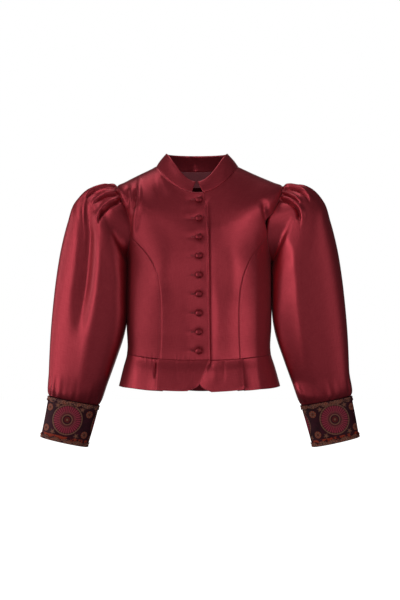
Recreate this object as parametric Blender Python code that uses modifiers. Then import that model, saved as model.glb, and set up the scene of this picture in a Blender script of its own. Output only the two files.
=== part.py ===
# Puff sleeve jacket: a fitted jacket with a band collar, nine covered buttons down an overlapped
# front, princess seams, a short pleated peplum, and full sleeves pleated into the armholes and
# gathered into deep figured cuffs. It keeps the hollow form that it has when worn.
# The garment's front faces -Y and +X is the wearer's left. The origin is at the neck, level with
# the foot of the collar on the shoulders. Tables are in millimetres and degrees.
#
# Every bodice piece is cut from one surface: torso(around, station), where around is the angle
# from centre front (0) over the wearer's left side (90) to centre back (180), and station is the
# length measured up the side seam from the waist and on over the shoulder to the neck.

import math
from collections import namedtuple

import bmesh
import bpy
import numpy as np
from mathutils import Matrix, Vector
from mathutils.bvhtree import BVHTree

MM = 0.001
GAP = 0.3  # between two pieces at a seam
BODICE_WALL = 1.6
PEPLUM_WALL = 1.2
SLEEVE_WALL = 1.2
COLLAR_WALL = 2.4
CUFF_WALL = 2.4
FACING_WALL = 1.0
TRIM_WALL = 1.0

# Stations of the bodice
HEM, WAIST, UNDERARM, TIP, NECK = -71.0, 0.0, 198.0, 370.0, 470.0

Ring = namedtuple(
    "Ring", "station half_width side_z front_z back_z front_y back_y squareness shift_x"
)
TORSO_RINGS = {
    "hem": Ring(HEM, 174.0, -481.0, -489.0, -500.0, 121.0, 120.0, 2.25, 0.0),
    "flare": Ring(-30.0, 163.0, -440.0, -448.0, -448.0, 108.0, 100.0, 2.25, 0.0),
    "waist": Ring(WAIST, 154.0, -411.0, -422.0, -414.0, 98.0, 84.0, 2.3, 0.0),
    "ribs": Ring(61.0, 155.0, -350.0, -359.0, -348.0, 105.0, 90.0, 2.3, 0.0),
    "under_bust": Ring(111.0, 156.0, -300.0, -306.0, -297.0, 112.0, 97.0, 2.3, 0.0),
    "bust": Ring(171.0, 156.0, -240.0, -246.0, -236.0, 117.0, 102.0, 2.3, 0.0),
    "underarm": Ring(UNDERARM, 155.0, -213.0, -219.0, -207.0, 117.0, 104.0, 2.3, 0.0),
    "chest": Ring(300.0, 166.0, -110.0, -152.0, -125.0, 109.0, 106.0, 2.3, 0.0),
    "shoulder_tip": Ring(TIP, 180.0, -43.0, -123.0, -78.0, 100.0, 99.0, 2.25, 0.0),
    "mid_shoulder": Ring(420.0, 134.0, -21.5, -94.0, -40.0, 90.0, 84.0, 2.15, -5.0),
    "neck": Ring(NECK, 88.0, 0.0, -62.5, -5.0, 78.0, 60.0, 2.1, -6.0),
}

TIP_TURN = 18.0  # the shoulder line is straight to within this of its turn at the tip
TIP_TURN_SPREAD = 16  # higher keeps that turn closer to the shoulder seam

BUST_X, BUST_Z = 76.0, -236.0
BUST_ACROSS, BUST_DOWN, BUST_DEPTH = 46.0, 52.0, 11.0

# The armhole is an oval in (around, station)
ARMHOLE_MIDDLE = (UNDERARM + TIP) / 2
ARMHOLE_HALF_HEIGHT = (TIP - UNDERARM) / 2
ARMHOLE_FRONT_REACH, ARMHOLE_BACK_REACH = 30.0, 27.0
ARMHOLE_STEP = 15.0
PRINCESS_TURN = 105.0  # where the princess seam meets the armhole, turned from the shoulder tip

# Distance of a seam or edge from the middle, by station
Reach = namedtuple("Reach", "station x")
PRINCESS = (
    Reach(WAIST, 82.5), Reach(61.0, 80.0), Reach(111.0, 80.0), Reach(150.0, 83.0),
    Reach(185.0, 92.0), Reach(215.0, 107.0), Reach(240.0, 126.0),
)
FRONT_EDGE = (Reach(WAIST, 19.5), Reach(120.0, 17.5), Reach(300.0, 16.0), Reach(NECK, 14.0))
UNDER_EDGE = -17.0
CORNER = 7.0  # rounding of the fronts' top corners

# The fronts' lower edges, cut away to the hem in a curve
Cutaway = namedtuple("Cutaway", "station over_front_x under_front_x")
CUTAWAY = (
    Cutaway(HEM, -26.0, 24.0),
    Cutaway(-63.0, -8.0, 6.0),
    Cutaway(-52.0, 1.0, -3.0),
    Cutaway(-38.0, 7.0, -9.0),
    Cutaway(-20.0, 15.0, -15.0),
    Cutaway(WAIST, 19.5, -17.0),
)
PEPLUM_STATIONS = (HEM, -67.5, -61.0, -52.0, -36.0, -18.0, WAIST)

OVERLAP_REACH = 46.0  # the fronts part from the common surface inside this distance from the middle
OVER_LIFT = 1.2
UNDER_SINK = 1.4

PLEAT_EDGE = 90.0  # the peplum's knife pleat: its fold from the middle
PLEAT_SEAM = (82.5, 77.0)  # its hidden fold, at the waist and at the hem
PLEAT_STEP = (1.75, 2.9)  # from one layer of the pleat to the next, at the waist and at the hem
PLEAT_FADE = 48.0

CollarTop = namedtuple("CollarTop", "half_width side_z front_z front_y back_z back_y droop")
COLLAR_TOP = CollarTop(66.5, 28.0, -38.0, 65.0, 28.5, 47.0, 2.7)
COLLAR_SHIFT = -7.0
COLLAR_ENDS = (8.0, 1.4)  # around of its ends, at the foot and at the top
COLLAR_AWAY = 1.0  # from the neck's edge to the foot of the collar
COLLAR_BOW = 1.5

# The sleeve's sections, from the shoulder to the wrist: the points on its outer and inner
# lines, and how far it reaches to the front and to the back of them
Section = namedtuple("Section", "station outer_x outer_z inner_x inner_z front_y back_y")
SLEEVE_SECTIONS = (
    Section(30.0, 210.0, -45.0, 157.4, -217.0, 63.0, 58.0),
    Section(65.0, 245.0, -52.0, 157.8, -223.0, 73.0, 69.0),
    Section(105.0, 274.0, -80.0, 158.2, -235.0, 79.0, 74.0),
    Section(150.0, 289.0, -122.0, 158.4, -255.0, 81.0, 75.0),
    Section(205.0, 303.0, -176.0, 158.7, -285.0, 77.0, 71.0),
    Section(265.0, 313.5, -236.0, 159.6, -326.0, 71.0, 65.0),
    Section(335.0, 322.0, -306.0, 167.5, -371.0, 63.0, 57.0),
    Section(405.0, 328.0, -376.0, 184.0, -421.0, 54.0, 49.0),
    Section(475.0, 331.5, -447.0, 203.0, -474.0, 44.0, 41.0),
    Section(525.0, 333.5, -494.0, 219.0, -517.0, 34.0, 33.0),
    Section(541.0, 331.6, -502.3, 223.4, -523.4, 28.5, 28.5),
)
# The left sleeve stands out a little less than the right one
LEFT_SLEEVE_IN = 5.0
ARMHOLE_AWAY = 1.45  # from the armhole's edge to the middle of the sleeve's wall
UNDERARM_OUT = 1.75  # and out from it under the arm, where the sleeve folds back down

# Pleats of the sleeve head by the wearer's side: turn from the shoulder tip (front is minus),
# height and half width
Pleat = namedtuple("Pleat", "turn height half_width")
RIGHT_PLEATS = (
    Pleat(-66.0, 5.5, 8.0), Pleat(-49.0, 7.5, 9.0), Pleat(-32.0, 8.0, 8.5), Pleat(-14.0, 6.5, 9.0),
    Pleat(7.0, 7.0, 10.0), Pleat(27.0, 7.5, 9.0), Pleat(45.0, 6.5, 9.0), Pleat(63.0, 5.0, 9.0),
)
LEFT_PLEATS = (
    Pleat(-68.0, 5.0, 9.0), Pleat(-50.0, 8.0, 9.0), Pleat(-31.0, 7.0, 9.0), Pleat(-13.0, 7.5, 8.5),
    Pleat(6.0, 6.0, 9.5), Pleat(24.0, 7.0, 9.0), Pleat(43.0, 7.5, 9.0), Pleat(62.0, 5.5, 9.0),
)
PLEAT_RISE = 26.0  # station where the pleats stand highest
PLEAT_LENGTH = 150.0
CUFF_GATHERS = 9
GATHER_DEPTH = 2.6

CuffEnd = namedtuple("CuffEnd", "outer_x outer_z inner_x inner_z half_depth")
CUFF_TOP = CuffEnd(332.0, -503.0, 222.8, -524.0, 28.5)
CUFF_BOTTOM = CuffEnd(349.0, -593.5, 248.8, -615.5, 28.5)
CUFF_SQUARENESS = 2.2
CUFF_SIDES = 32
SCALLOP_SEGMENTS = 4
TRIM_SET_IN = 0.8  # from the cuff's edge to the edging's
SCALLOPS = 13
TRIM_HEIGHT = (5.5, 9.5)  # in the dips and at the crests of the scallops

BUTTON_RADIUS = 7.0
BUTTON_HEIGHT = 6.2
BUTTON_X = -2.0
BUTTONS = 9
BUTTON_FIRST_Z = -78.0
BUTTON_PITCH = 40.3

PALETTE = {
    "satin": ((0.19, 0.018, 0.027), 0.42, 0.35),
    "facing": ((0.12, 0.030, 0.040), 0.70, 0.0),
    "brocade": ((0.085, 0.008, 0.026), 0.60, 0.15),
    "gimp": ((0.20, 0.085, 0.055), 0.55, 0.40),
}


# Curves

def smooth_row(rows, at):
    """Each column of a table as a smooth curve of its first one."""
    table = np.array(rows, float)
    knots, values = table[:, 0], table[:, 1:]
    steps = np.diff(knots)[:, None]
    slopes = np.diff(values, axis=0) / steps
    inner = (slopes[:-1] * steps[1:] + slopes[1:] * steps[:-1]) / (steps[1:] + steps[:-1])
    tangents = np.vstack([slopes[:1], inner, slopes[-1:]])
    at = np.asarray(at, float)
    span = np.clip(np.searchsorted(knots, at, side="right") - 1, 0, len(steps) - 1)
    width = steps[span, 0]
    u = ((at - knots[span]) / width)[..., None]
    width = width[..., None]
    return (
        (1 + 2 * u) * (1 - u) ** 2 * values[span]
        + u * (1 - u) ** 2 * width * tangents[span]
        + u ** 2 * (3 - 2 * u) * values[span + 1]
        + u ** 2 * (u - 1) * width * tangents[span + 1]
    )


def ease(u):
    u = np.clip(u, 0.0, 1.0)
    return u * u * (3 - 2 * u)


def unit(vectors):
    return vectors / np.maximum(np.linalg.norm(vectors, axis=-1, keepdims=True), 1e-9)


# The bodice's surface

def rings_with_turn():
    """The rings with two more by the shoulder tip, on the straight lines that meet there."""
    rings = list(TORSO_RINGS.values())
    tip = rings.index(TORSO_RINGS["shoulder_tip"])
    turned = rings[:tip]
    for neighbour, at in ((rings[tip - 1], TIP - TIP_TURN), (rings[tip + 1], TIP + TIP_TURN)):
        share = (at - TIP) / (neighbour.station - TIP)
        straight = Ring(*(np.array(rings[tip]) * (1 - share) + np.array(neighbour) * share))
        level = Ring(at, *smooth_row(rings, at))
        turned.append(level._replace(half_width=straight.half_width, side_z=straight.side_z))
    turned.insert(tip + 1, rings[tip])
    return turned + rings[tip + 1:]


def torso(around, station):
    """Points of the surface that the bodice and the peplum are cut from."""
    angle = np.radians(around)
    sine, cosine = np.sin(angle), np.cos(angle)
    rings = list(TORSO_RINGS.values())
    rounded = smooth_row(rings, station)
    angular = smooth_row(rings_with_turn(), station)
    columns = rounded + (angular - rounded) * (sine ** TIP_TURN_SPREAD)[..., None]
    half_width, side_z, front_z, back_z, front_y, back_y, square, shift = np.moveaxis(columns, -1, 0)
    reach = (abs(sine) ** square + abs(cosine) ** square) ** (-1 / square)
    front = cosine >= 0
    x = half_width * reach * sine
    y = -np.where(front, front_y, back_y) * reach * cosine
    z = side_z + (np.where(front, front_z, back_z) - side_z) * cosine ** 2
    mound = ((abs(x) - BUST_X) / BUST_ACROSS) ** 2 + ((z - BUST_Z) / BUST_DOWN) ** 2
    y = y - np.where(front, BUST_DEPTH * np.exp(-mound) * ease(cosine * 3), 0.0)
    return np.stack([x + shift, y, z], axis=-1)


def torso_normal(around, station):
    along = torso(around + 0.5, station) - torso(around - 0.5, station)
    upward = torso(around, station + 0.5) - torso(around, station - 0.5)
    return unit(np.cross(along, upward))


def around_at(x, station):
    """Angle on the front of the surface at a distance from its middle."""
    half_width, *_, square, _ = np.moveaxis(smooth_row(list(TORSO_RINGS.values()), station), -1, 0)
    share = np.maximum(np.abs(x) / half_width, 1e-6)
    cotangent = (share ** -square - 1) ** (1 / square)
    return np.degrees(np.arctan2(1.0, cotangent)) * np.sign(x)


def armhole(turn):
    """(around, station) on the left armhole, turned from the shoulder tip: minus to the front."""
    turned = np.radians(turn)
    reach = np.where(np.asarray(turn) < 0, ARMHOLE_FRONT_REACH, ARMHOLE_BACK_REACH)
    station = ARMHOLE_MIDDLE + ARMHOLE_HALF_HEIGHT * np.cos(turned)
    return np.stack([90.0 + reach * np.sin(turned), station], axis=-1)


# Seams as rows of (around, station) on the wearer's left

BODICE_ROWS = 15
SHOULDER_ROWS = 7
NECK_ROWS = 5
BACK_COLUMNS = 12
ARMHOLE_ROWS = int(PRINCESS_TURN / ARMHOLE_STEP)
UNDERARM_COLUMNS = int((180.0 - PRINCESS_TURN) / ARMHOLE_STEP)


def princess_seam():
    end = armhole(-PRINCESS_TURN)
    end_x = torso(end[0], end[1])[0] - smooth_row(list(TORSO_RINGS.values()), end[1])[-1]
    station = np.linspace(WAIST, end[1], BODICE_ROWS + 1)
    x = smooth_row(PRINCESS + ((end[1], end_x),), station)[:, 0]
    seam = np.stack([around_at(x, station), station], axis=-1)
    seam[-1] = end
    return seam


def side_seam():
    station = np.linspace(WAIST, UNDERARM, BODICE_ROWS + 1)
    return np.stack([np.full_like(station, 90.0), station], axis=-1)


def neck_seam(count):
    """The neck from the collar's end to the shoulder."""
    return between((COLLAR_ENDS[0], NECK), (90.0, NECK), count)


def shoulder_seam():
    station = np.linspace(TIP, NECK, SHOULDER_ROWS + 1)
    return np.stack([np.full_like(station, 90.0), station], axis=-1)


def between(start, end, count):
    return np.array(start) + (np.array(end) - np.array(start)) * np.linspace(0, 1, count + 1)[:, None]


def patch(left, right, bottom, top):
    """Grid of (around, station) spread between four seams that share their corners."""
    t = np.linspace(0, 1, len(left))[:, None, None]
    s = np.linspace(0, 1, len(bottom))[None, :, None]
    ruled = (1 - s) * left[:, None] + s * right[:, None] + (1 - t) * bottom[None] + t * top[None]
    corners = (1 - t) * ((1 - s) * bottom[0] + s * bottom[-1]) + t * ((1 - s) * top[0] + s * top[-1])
    return ruled - corners


# From grids of points to pieces

def inset(points, edges):
    """Draws the named edges of a grid in by half a seam's gap."""
    rows = {
        "bottom": (np.s_[0, :], np.s_[1, :]),
        "top": (np.s_[-1, :], np.s_[-2, :]),
        "left": (np.s_[:, 0], np.s_[:, 1]),
        "right": (np.s_[:, -1], np.s_[:, -2]),
    }
    moved = points.copy()
    for name in edges:
        edge, inner = rows[name]
        run = unit(np.gradient(points[edge], axis=0))
        inward = points[inner] - points[edge]
        inward = inward - (inward * run).sum(-1, keepdims=True) * run
        moved[edge] += unit(inward) * GAP / 2
    return moved


def material(name):
    found = bpy.data.materials.get(name)
    if found:
        return found
    colour, roughness, metallic = PALETTE[name]
    made = bpy.data.materials.new(name)
    made.use_nodes = True
    shader = made.node_tree.nodes["Principled BSDF"]
    shader.inputs["Base Color"].default_value = (*colour, 1.0)
    shader.inputs["Roughness"].default_value = roughness
    shader.inputs["Metallic"].default_value = metallic
    made.diffuse_color = (*colour, 1.0)
    return made


def add_object(name, mesh, cloth, collection):
    mesh.materials.append(material(cloth))
    mesh.shade_smooth()
    made = bpy.data.objects.new(name, mesh)
    collection.objects.link(made)
    return made


def add_cloth(name, points, wall, cloth, collection, tube=False):
    """A cloth piece from its mid-surface, a grid of points in rows, thickened by Solidify."""
    rows, columns = points.shape[:2]
    build = bmesh.new()
    bmesh.ops.create_grid(build, x_segments=columns - 1, y_segments=rows - 1, size=0.5)
    build.verts.ensure_lookup_table()
    for vertex, place in zip(build.verts, points.reshape(-1, 3)):
        vertex.co = Vector(place) * MM
    if tube:
        bmesh.ops.remove_doubles(build, verts=build.verts, dist=1e-6)
    mesh = bpy.data.meshes.new(name)
    build.to_mesh(mesh)
    build.free()
    made = add_object(name, mesh, cloth, collection)
    shell = made.modifiers.new("wall", "SOLIDIFY")
    shell.thickness = wall * MM
    shell.offset = 0.0
    shell.use_quality_normals = True
    return made


def side_name(name, side):
    return f"{name}_{'left' if side > 0 else 'right'}"


def on_side(grid, side):
    """A grid cut for the wearer's left, turned over for the right, with its face kept outward."""
    if side > 0:
        return grid
    turned = grid[:, ::-1].copy()
    turned[..., 0] *= -1
    return turned


def lap_offset(grid, side):
    """How far a front stands out from the common surface where the two fronts lie on each other."""
    x = np.abs(torso(grid[..., 0], grid[..., 1])[..., 0])
    near = 1 - ease((x - 22.0) / (OVERLAP_REACH - 22.0))
    return np.where(side < 0, OVER_LIFT, -UNDER_SINK) * near


# Bodice

def front_edge(side, count):
    station = np.linspace(WAIST, NECK - CORNER, count + 1)
    if side < 0:
        x = -smooth_row(FRONT_EDGE, station)[:, 0]
    else:
        x = np.full_like(station, UNDER_EDGE)
    return np.stack([around_at(x, station), station], axis=-1)


def front_grid(side):
    """A front from the lap to the princess seam and the armhole, up to the shoulder."""
    princess = princess_seam()
    upper = armhole(np.linspace(-PRINCESS_TURN, 0.0, ARMHOLE_ROWS + 1))
    right = np.vstack([princess, upper[1:]])
    neck = neck_seam(NECK_ROWS)
    edge = front_edge(side, len(right) - len(neck) - 2)
    edge_x = -FRONT_EDGE[-1][1] if side < 0 else UNDER_EDGE
    corner = (around_at(edge_x + CORNER, NECK), NECK)
    left = np.vstack([edge, [corner], neck])
    columns = SHOULDER_ROWS
    bottom = between(left[0], right[0], columns)
    top = shoulder_seam()[::-1]
    return patch(left, right, bottom, top)


def front_points(side):
    grid = on_side(front_grid(side), side)
    lift = lap_offset(grid, side)[..., None]
    points = torso(grid[..., 0], grid[..., 1]) + torso_normal(grid[..., 0], grid[..., 1]) * lift
    return inset(points, ("bottom", "right" if side > 0 else "left", "top"))


def side_front_points(side):
    princess, seam = princess_seam(), side_seam()
    top = armhole(-np.linspace(PRINCESS_TURN, 180.0, UNDERARM_COLUMNS + 1))
    bottom = between(princess[0], seam[0], UNDERARM_COLUMNS)
    grid = on_side(patch(princess, seam, bottom, top), side)
    return inset(torso(grid[..., 0], grid[..., 1]), ("bottom", "left", "right"))


def add_bodice(collection):
    for side in (-1, 1):
        add_cloth(side_name("front", side), front_points(side), BODICE_WALL, "satin", collection)
        add_cloth(side_name("side_front", side), side_front_points(side), BODICE_WALL, "satin", collection)
    add_back(collection)


def add_back(collection):
    """The back, and the facing that shows inside its neck, made from the back's own points."""
    back_arm = armhole(np.arange(180.0, -0.1, -ARMHOLE_STEP))
    left = np.vstack([side_seam(), back_arm[1:], shoulder_seam()[1:]])
    right = left * (-1, 1) + (360.0, 0.0)
    bottom = between(left[0], right[0], BACK_COLUMNS)
    top = between(left[-1], right[-1], BACK_COLUMNS)
    grid = patch(left, right, bottom, top)
    flat = torso(grid[..., 0], grid[..., 1])
    normal = torso_normal(grid[..., 0], grid[..., 1])
    points = inset(flat, ("bottom",))
    drawn = inset(points, ("left", "right"))
    sewn = list(range(BODICE_ROWS + 1)) + list(range(len(left) - SHOULDER_ROWS - 1, len(left)))
    points[sewn] = drawn[sewn]
    add_cloth("back", points, BODICE_WALL, "satin", collection)

    part = np.s_[-4:, 2:-2]
    inner = (flat - normal * ((BODICE_WALL + FACING_WALL) / 2 + GAP))[part]
    inner[-1] += (inner[-2] - inner[-1]) * 0.15
    add_cloth("back_neck_facing", inner, FACING_WALL, "facing", collection)


# Peplum

def pleat_path(stations, share):
    """Across a peplum front by station: its distances from the middle, and its depth at each."""
    hidden = PLEAT_SEAM[0] + (PLEAT_SEAM[1] - PLEAT_SEAM[0]) * share
    step = PLEAT_STEP[0] + (PLEAT_STEP[1] - PLEAT_STEP[0]) * share
    turn = step / 2
    places = (
        (PLEAT_EDGE - turn, 0.0 * step),
        (PLEAT_EDGE, -step / 2),
        (PLEAT_EDGE - turn, -step),
        (hidden + turn, -step),
        (hidden, -step * 1.5),
        (hidden + turn, -step * 2),
        (PLEAT_EDGE + 6.0, -step * 2),
        (PLEAT_EDGE + PLEAT_FADE / 2, -step),
        (PLEAT_EDGE + PLEAT_FADE, 0.0 * step),
    )
    return places


def add_peplum(collection):
    lap_columns, side_columns = 7, 3
    stations = np.array(PEPLUM_STATIONS)
    rows = len(stations) - 1
    share = stations / HEM
    for side in (-1, 1):
        cut = smooth_row(CUTAWAY, stations)
        edge_x = -cut[:, 0] if side < 0 else cut[:, 1]
        places = pleat_path(stations, share)
        first = places[0][0]
        columns = [
            (edge_x + (first - edge_x) * k / lap_columns, 0.0 * share) for k in range(lap_columns)
        ]
        columns += places
        x = np.stack([place + 0.0 * share for place, _ in columns], axis=-1)
        depth = np.stack([0.0 * share + d for _, d in columns], axis=-1)
        around = around_at(x, stations[:, None] + 0.0 * x)
        last = around[:, -1:]
        spread = np.linspace(0, 1, side_columns + 1)[1:]
        around = np.hstack([around, last + (90.0 - last) * spread])
        depth = np.hstack([depth, np.zeros((rows + 1, side_columns))])
        grid = np.stack([around, stations[:, None] + 0.0 * around], axis=-1)
        if side < 0:
            depth = depth[:, ::-1]
        grid = on_side(grid, side)
        normal = torso_normal(grid[..., 0], grid[..., 1])
        lift = (lap_offset(grid, side) + depth)[..., None]
        points = torso(grid[..., 0], grid[..., 1]) + normal * lift
        points[-1, :, 2] -= GAP / 2
        outer = "right" if side > 0 else "left"
        points = inset(points, (outer,))
        add_cloth(side_name("peplum_front", side), points, PEPLUM_WALL, "satin", collection)

    grid_around = np.linspace(90.0, 270.0, 15)[None, :] + 0 * stations[:, None]
    grid_station = stations[:, None] + 0 * grid_around
    points = torso(grid_around, grid_station)
    points[-1, :, 2] -= GAP / 2
    points = inset(points, ("left", "right"))
    add_cloth("peplum_back", points, PEPLUM_WALL, "satin", collection)


# Collar

def collar_foot(around):
    """The foot of the collar, just clear of the neck's edge on the pieces that it is sewn to."""
    front = neck_seam(NECK_ROWS)[:, 0]
    back = np.linspace(90.0, 270.0, BACK_COLUMNS + 1)
    nodes = np.concatenate([front[:-1], back, 360.0 - front[::-1][1:]])
    level = np.full_like(nodes, NECK)
    foot = torso(nodes, level)
    normal = torso_normal(nodes, level)
    away = unit(foot - torso(nodes, level - 1.0))
    clear = foot + away * COLLAR_AWAY + normal * GAP
    return np.stack([np.interp(around, nodes, clear[:, axis]) for axis in range(3)], axis=-1)


def collar_edge(around):
    angle = np.radians(around)
    sine, cosine = np.sin(angle), np.cos(angle)
    front = cosine >= 0
    depth = np.where(front, COLLAR_TOP.front_y, COLLAR_TOP.back_y)
    end_z = np.where(front, COLLAR_TOP.front_z, COLLAR_TOP.back_z)
    return np.stack(
        [
            COLLAR_SHIFT + COLLAR_TOP.half_width * sine,
            -depth * cosine,
            COLLAR_TOP.side_z + (end_z - COLLAR_TOP.side_z) * abs(cosine) ** COLLAR_TOP.droop,
        ],
        axis=-1,
    )


def add_collar(collection):
    rows = 3
    share = np.linspace(0, 1, rows + 1)[:, None]
    front = neck_seam(2 * NECK_ROWS)[:, 0]
    foot_around = np.concatenate([front[:-1], np.linspace(90.0, 270.0, BACK_COLUMNS + 1), 360.0 - front[::-1][1:]])
    spread = (180.0 - COLLAR_ENDS[1]) / (180.0 - COLLAR_ENDS[0])
    edge_around = 180.0 + (foot_around - 180.0) * spread
    foot = collar_foot(foot_around)[None, :]
    edge = collar_edge(edge_around)[None, :]
    points = foot + (edge - foot) * share[..., None]
    outward = unit(points * (1, 1, 0) - (COLLAR_SHIFT, 0, 0))
    points = points + outward * (COLLAR_BOW * np.sin(np.pi * share))[..., None]
    add_cloth("collar", points, COLLAR_WALL, "satin", collection)


# Sleeves

def sleeve_seam(turn):
    """The sleeve's first ring on the left, just clear of the armhole's edge."""
    nodes = np.arange(-180.0, 180.1, ARMHOLE_STEP)
    ring = armhole(nodes)
    place = torso(ring[:, 0], ring[:, 1])
    normal = torso_normal(ring[:, 0], ring[:, 1])
    centre = place.mean(axis=0)
    run = unit(np.gradient(np.vstack([place[-2], place, place[1]]), axis=0)[1:-1])
    away = np.cross(run, normal)
    away *= np.sign(((centre - place) * away).sum(-1, keepdims=True))
    out = GAP + (UNDERARM_OUT - GAP) * ease((abs(nodes[:, None]) - 60.0) / 120.0)
    clear = place + away * ARMHOLE_AWAY + normal * out
    clear[0] = clear[-1] = (clear[0] + clear[-1]) / 2
    return np.stack([np.interp(turn, nodes, clear[:, axis]) for axis in range(3)], axis=-1)


def sleeve_base(turn, station):
    """The left sleeve without its pleats: points by turn from its outer line, and station."""
    turned = np.radians(turn)
    seam = sleeve_seam(turn)
    rings = [seam]
    for row in SLEEVE_SECTIONS:
        along = (1 + np.cos(turned)) / 2
        x = row.inner_x + (row.outer_x - row.inner_x) * along
        z = row.inner_z + (row.outer_z - row.inner_z) * along
        y = np.where(turned < 0, row.front_y, row.back_y) * np.sin(turned)
        rings.append(np.stack([x, y, z], axis=-1))
    knots = [0.0] + [row.station for row in SLEEVE_SECTIONS]
    table = np.column_stack([knots, np.array(rings).reshape(len(rings), -1)])
    return smooth_row(table, station).reshape(len(station), -1, 3)


def sleeve_folds(turn, station, side):
    """Height of the pleats and gathers above the plain sleeve."""
    strength = station / PLEAT_RISE * np.exp(1 - station / PLEAT_RISE)
    strength += 0.3 * ease(station / 8.0) * ease(1 - station / PLEAT_LENGTH)
    height = np.zeros((len(station), len(turn)))
    for centre, rise, half_width in (LEFT_PLEATS if side > 0 else RIGHT_PLEATS):
        spread = 1 + station / 220.0
        away = (turn[None, :] - centre * (1 + 0.1 * station[:, None] / 100.0)) / (half_width * spread[:, None])
        height += rise * np.clip(1 - abs(away), 0, 1) * strength[:, None]
    waves = np.cos(np.radians(turn[None, :] * CUFF_GATHERS) + 0.6 * side)
    near_cuff = ease((station - 430.0) / 80.0) * (1 - ease((station - 520.0) / 20.0))
    return height + GATHER_DEPTH * waves * near_cuff[:, None]


def sleeve_points(turn, station, side):
    base = sleeve_base(turn, station)
    if side > 0:
        outer = (1 + np.cos(np.radians(turn))) / 2
        length = ease(station / 60.0) * (1 - ease((station - 470.0) / 60.0))
        base[..., 0] -= LEFT_SLEEVE_IN * length[:, None] * outer
    wide = sleeve_base(turn + 1.0, station) - sleeve_base(turn - 1.0, station)
    long = sleeve_base(turn, station + 1.0) - sleeve_base(turn, station - 1.0)
    normal = unit(np.cross(wide, -long))
    points = base + normal * sleeve_folds(turn, station, side)[..., None]
    return points * (side, 1, 1)


def add_sleeves(collection):
    head = np.arange(-75.0, 75.1, 5.0)
    under = np.arange(90.0, 285.1, ARMHOLE_STEP)
    turn = np.concatenate([head, under])
    turn = np.where(turn > 180.0, turn - 360.0, turn)
    station = np.array([0, 7, 17, 31, 50, 75, 108, 150, 205, 265, 335, 405, 465, 505, 527, 541], float)
    for side in (-1, 1):
        points = sleeve_points(turn, station, side)
        add_cloth(side_name("sleeve", side), points, SLEEVE_WALL, "satin", collection, tube=True)


# Cuffs

def cuff_points(turn, share, out=0.0):
    """Points of the left cuff by turn from its outer line and share of the way down."""
    outer_x, outer_z, inner_x, inner_z, half_depth = np.moveaxis(
        np.array(CUFF_TOP) + (np.array(CUFF_BOTTOM) - np.array(CUFF_TOP)) * np.asarray(share)[..., None], -1, 0
    )
    middle = np.stack([(outer_x + inner_x) / 2, 0 * outer_x, (outer_z + inner_z) / 2], axis=-1)
    across = np.stack([(outer_x - inner_x) / 2, 0 * outer_x, (outer_z - inner_z) / 2], axis=-1)
    width = np.linalg.norm(across, axis=-1, keepdims=True)
    turned = np.radians(turn)[..., None]
    square = CUFF_SQUARENESS
    oval = (abs(np.cos(turned)) ** square + abs(np.sin(turned)) ** square) ** (-1 / square)
    return (
        middle
        + across / width * (width + out) * oval * np.cos(turned)
        + (half_depth[..., None] + out) * oval * np.sin(turned) * (0, 1, 0)
    )


def add_cuffs(collection):
    length = math.dist(CUFF_TOP[:2], CUFF_BOTTOM[:2])
    for side in (-1, 1):
        turn, share = np.meshgrid(np.linspace(0, 360, CUFF_SIDES + 1), np.linspace(0, 1, 4))
        points = cuff_points(turn, share) * (side, 1, 1)
        add_cloth(side_name("cuff", side), points, CUFF_WALL, "brocade", collection, tube=True)

        turn, row = np.meshgrid(np.linspace(0, 360, SCALLOPS * SCALLOP_SEGMENTS + 1), (0.0, 1.0))
        crest = abs(np.sin(np.radians(turn * SCALLOPS / 2)))
        height = (TRIM_HEIGHT[0] + (TRIM_HEIGHT[1] - TRIM_HEIGHT[0]) * crest) / length
        out = (CUFF_WALL + TRIM_WALL) / 2 + GAP
        rim = TRIM_SET_IN / length
        top = cuff_points(turn, rim + row * height, out) * (side, 1, 1)
        bottom = cuff_points(turn, 1 - rim - row * height, out) * (side, 1, 1)
        add_cloth(side_name("cuff_top_edging", side), top, TRIM_WALL, "gimp", collection, tube=True)
        add_cloth(side_name("cuff_bottom_edging", side), bottom, TRIM_WALL, "gimp", collection, tube=True)


# Buttons

def button_mesh():
    """A covered button: a dome over a short drum, as a turned profile."""
    domes, rim = 4, 1.1
    rise = BUTTON_HEIGHT - rim
    profile = [(0.0, 0.0), (BUTTON_RADIUS - 0.9, 0.0), (BUTTON_RADIUS, rim)]
    for k in range(1, domes):
        angle = math.pi / 2 * k / domes
        profile.append((BUTTON_RADIUS * math.cos(angle), rim + rise * math.sin(angle)))
    profile.append((0.0, BUTTON_HEIGHT))
    build = bmesh.new()
    corners = [build.verts.new(Vector((x, 0.0, z)) * MM) for x, z in profile]
    for first, second in zip(corners, corners[1:]):
        build.edges.new((first, second))
    mesh = bpy.data.meshes.new("button")
    build.to_mesh(mesh)
    build.free()
    return mesh


def panel_tree(points):
    """The mid-surface of a piece, for finding what rests on it."""
    rows, columns = points.shape[:2]
    corners = [Vector(place) for place in points.reshape(-1, 3)]
    faces = [
        (r * columns + c, r * columns + c + 1, (r + 1) * columns + c + 1, (r + 1) * columns + c)
        for r in range(rows - 1)
        for c in range(columns - 1)
    ]
    return BVHTree.FromPolygons(corners, faces)


def seat_height(tree, seat, normal, radius):
    """How far a disc is lifted along its normal to lie on a piece's highest point under it."""
    across = normal.orthogonal()
    reach = 50.0
    heights = []
    for step in range(8):
        rim = seat + Matrix.Rotation(step * math.pi / 4, 3, normal) @ across.normalized() * radius
        hit, *_ = tree.ray_cast(rim + normal * reach, -normal)
        if hit:
            heights.append((hit - seat).dot(normal))
    return max(heights)


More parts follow.
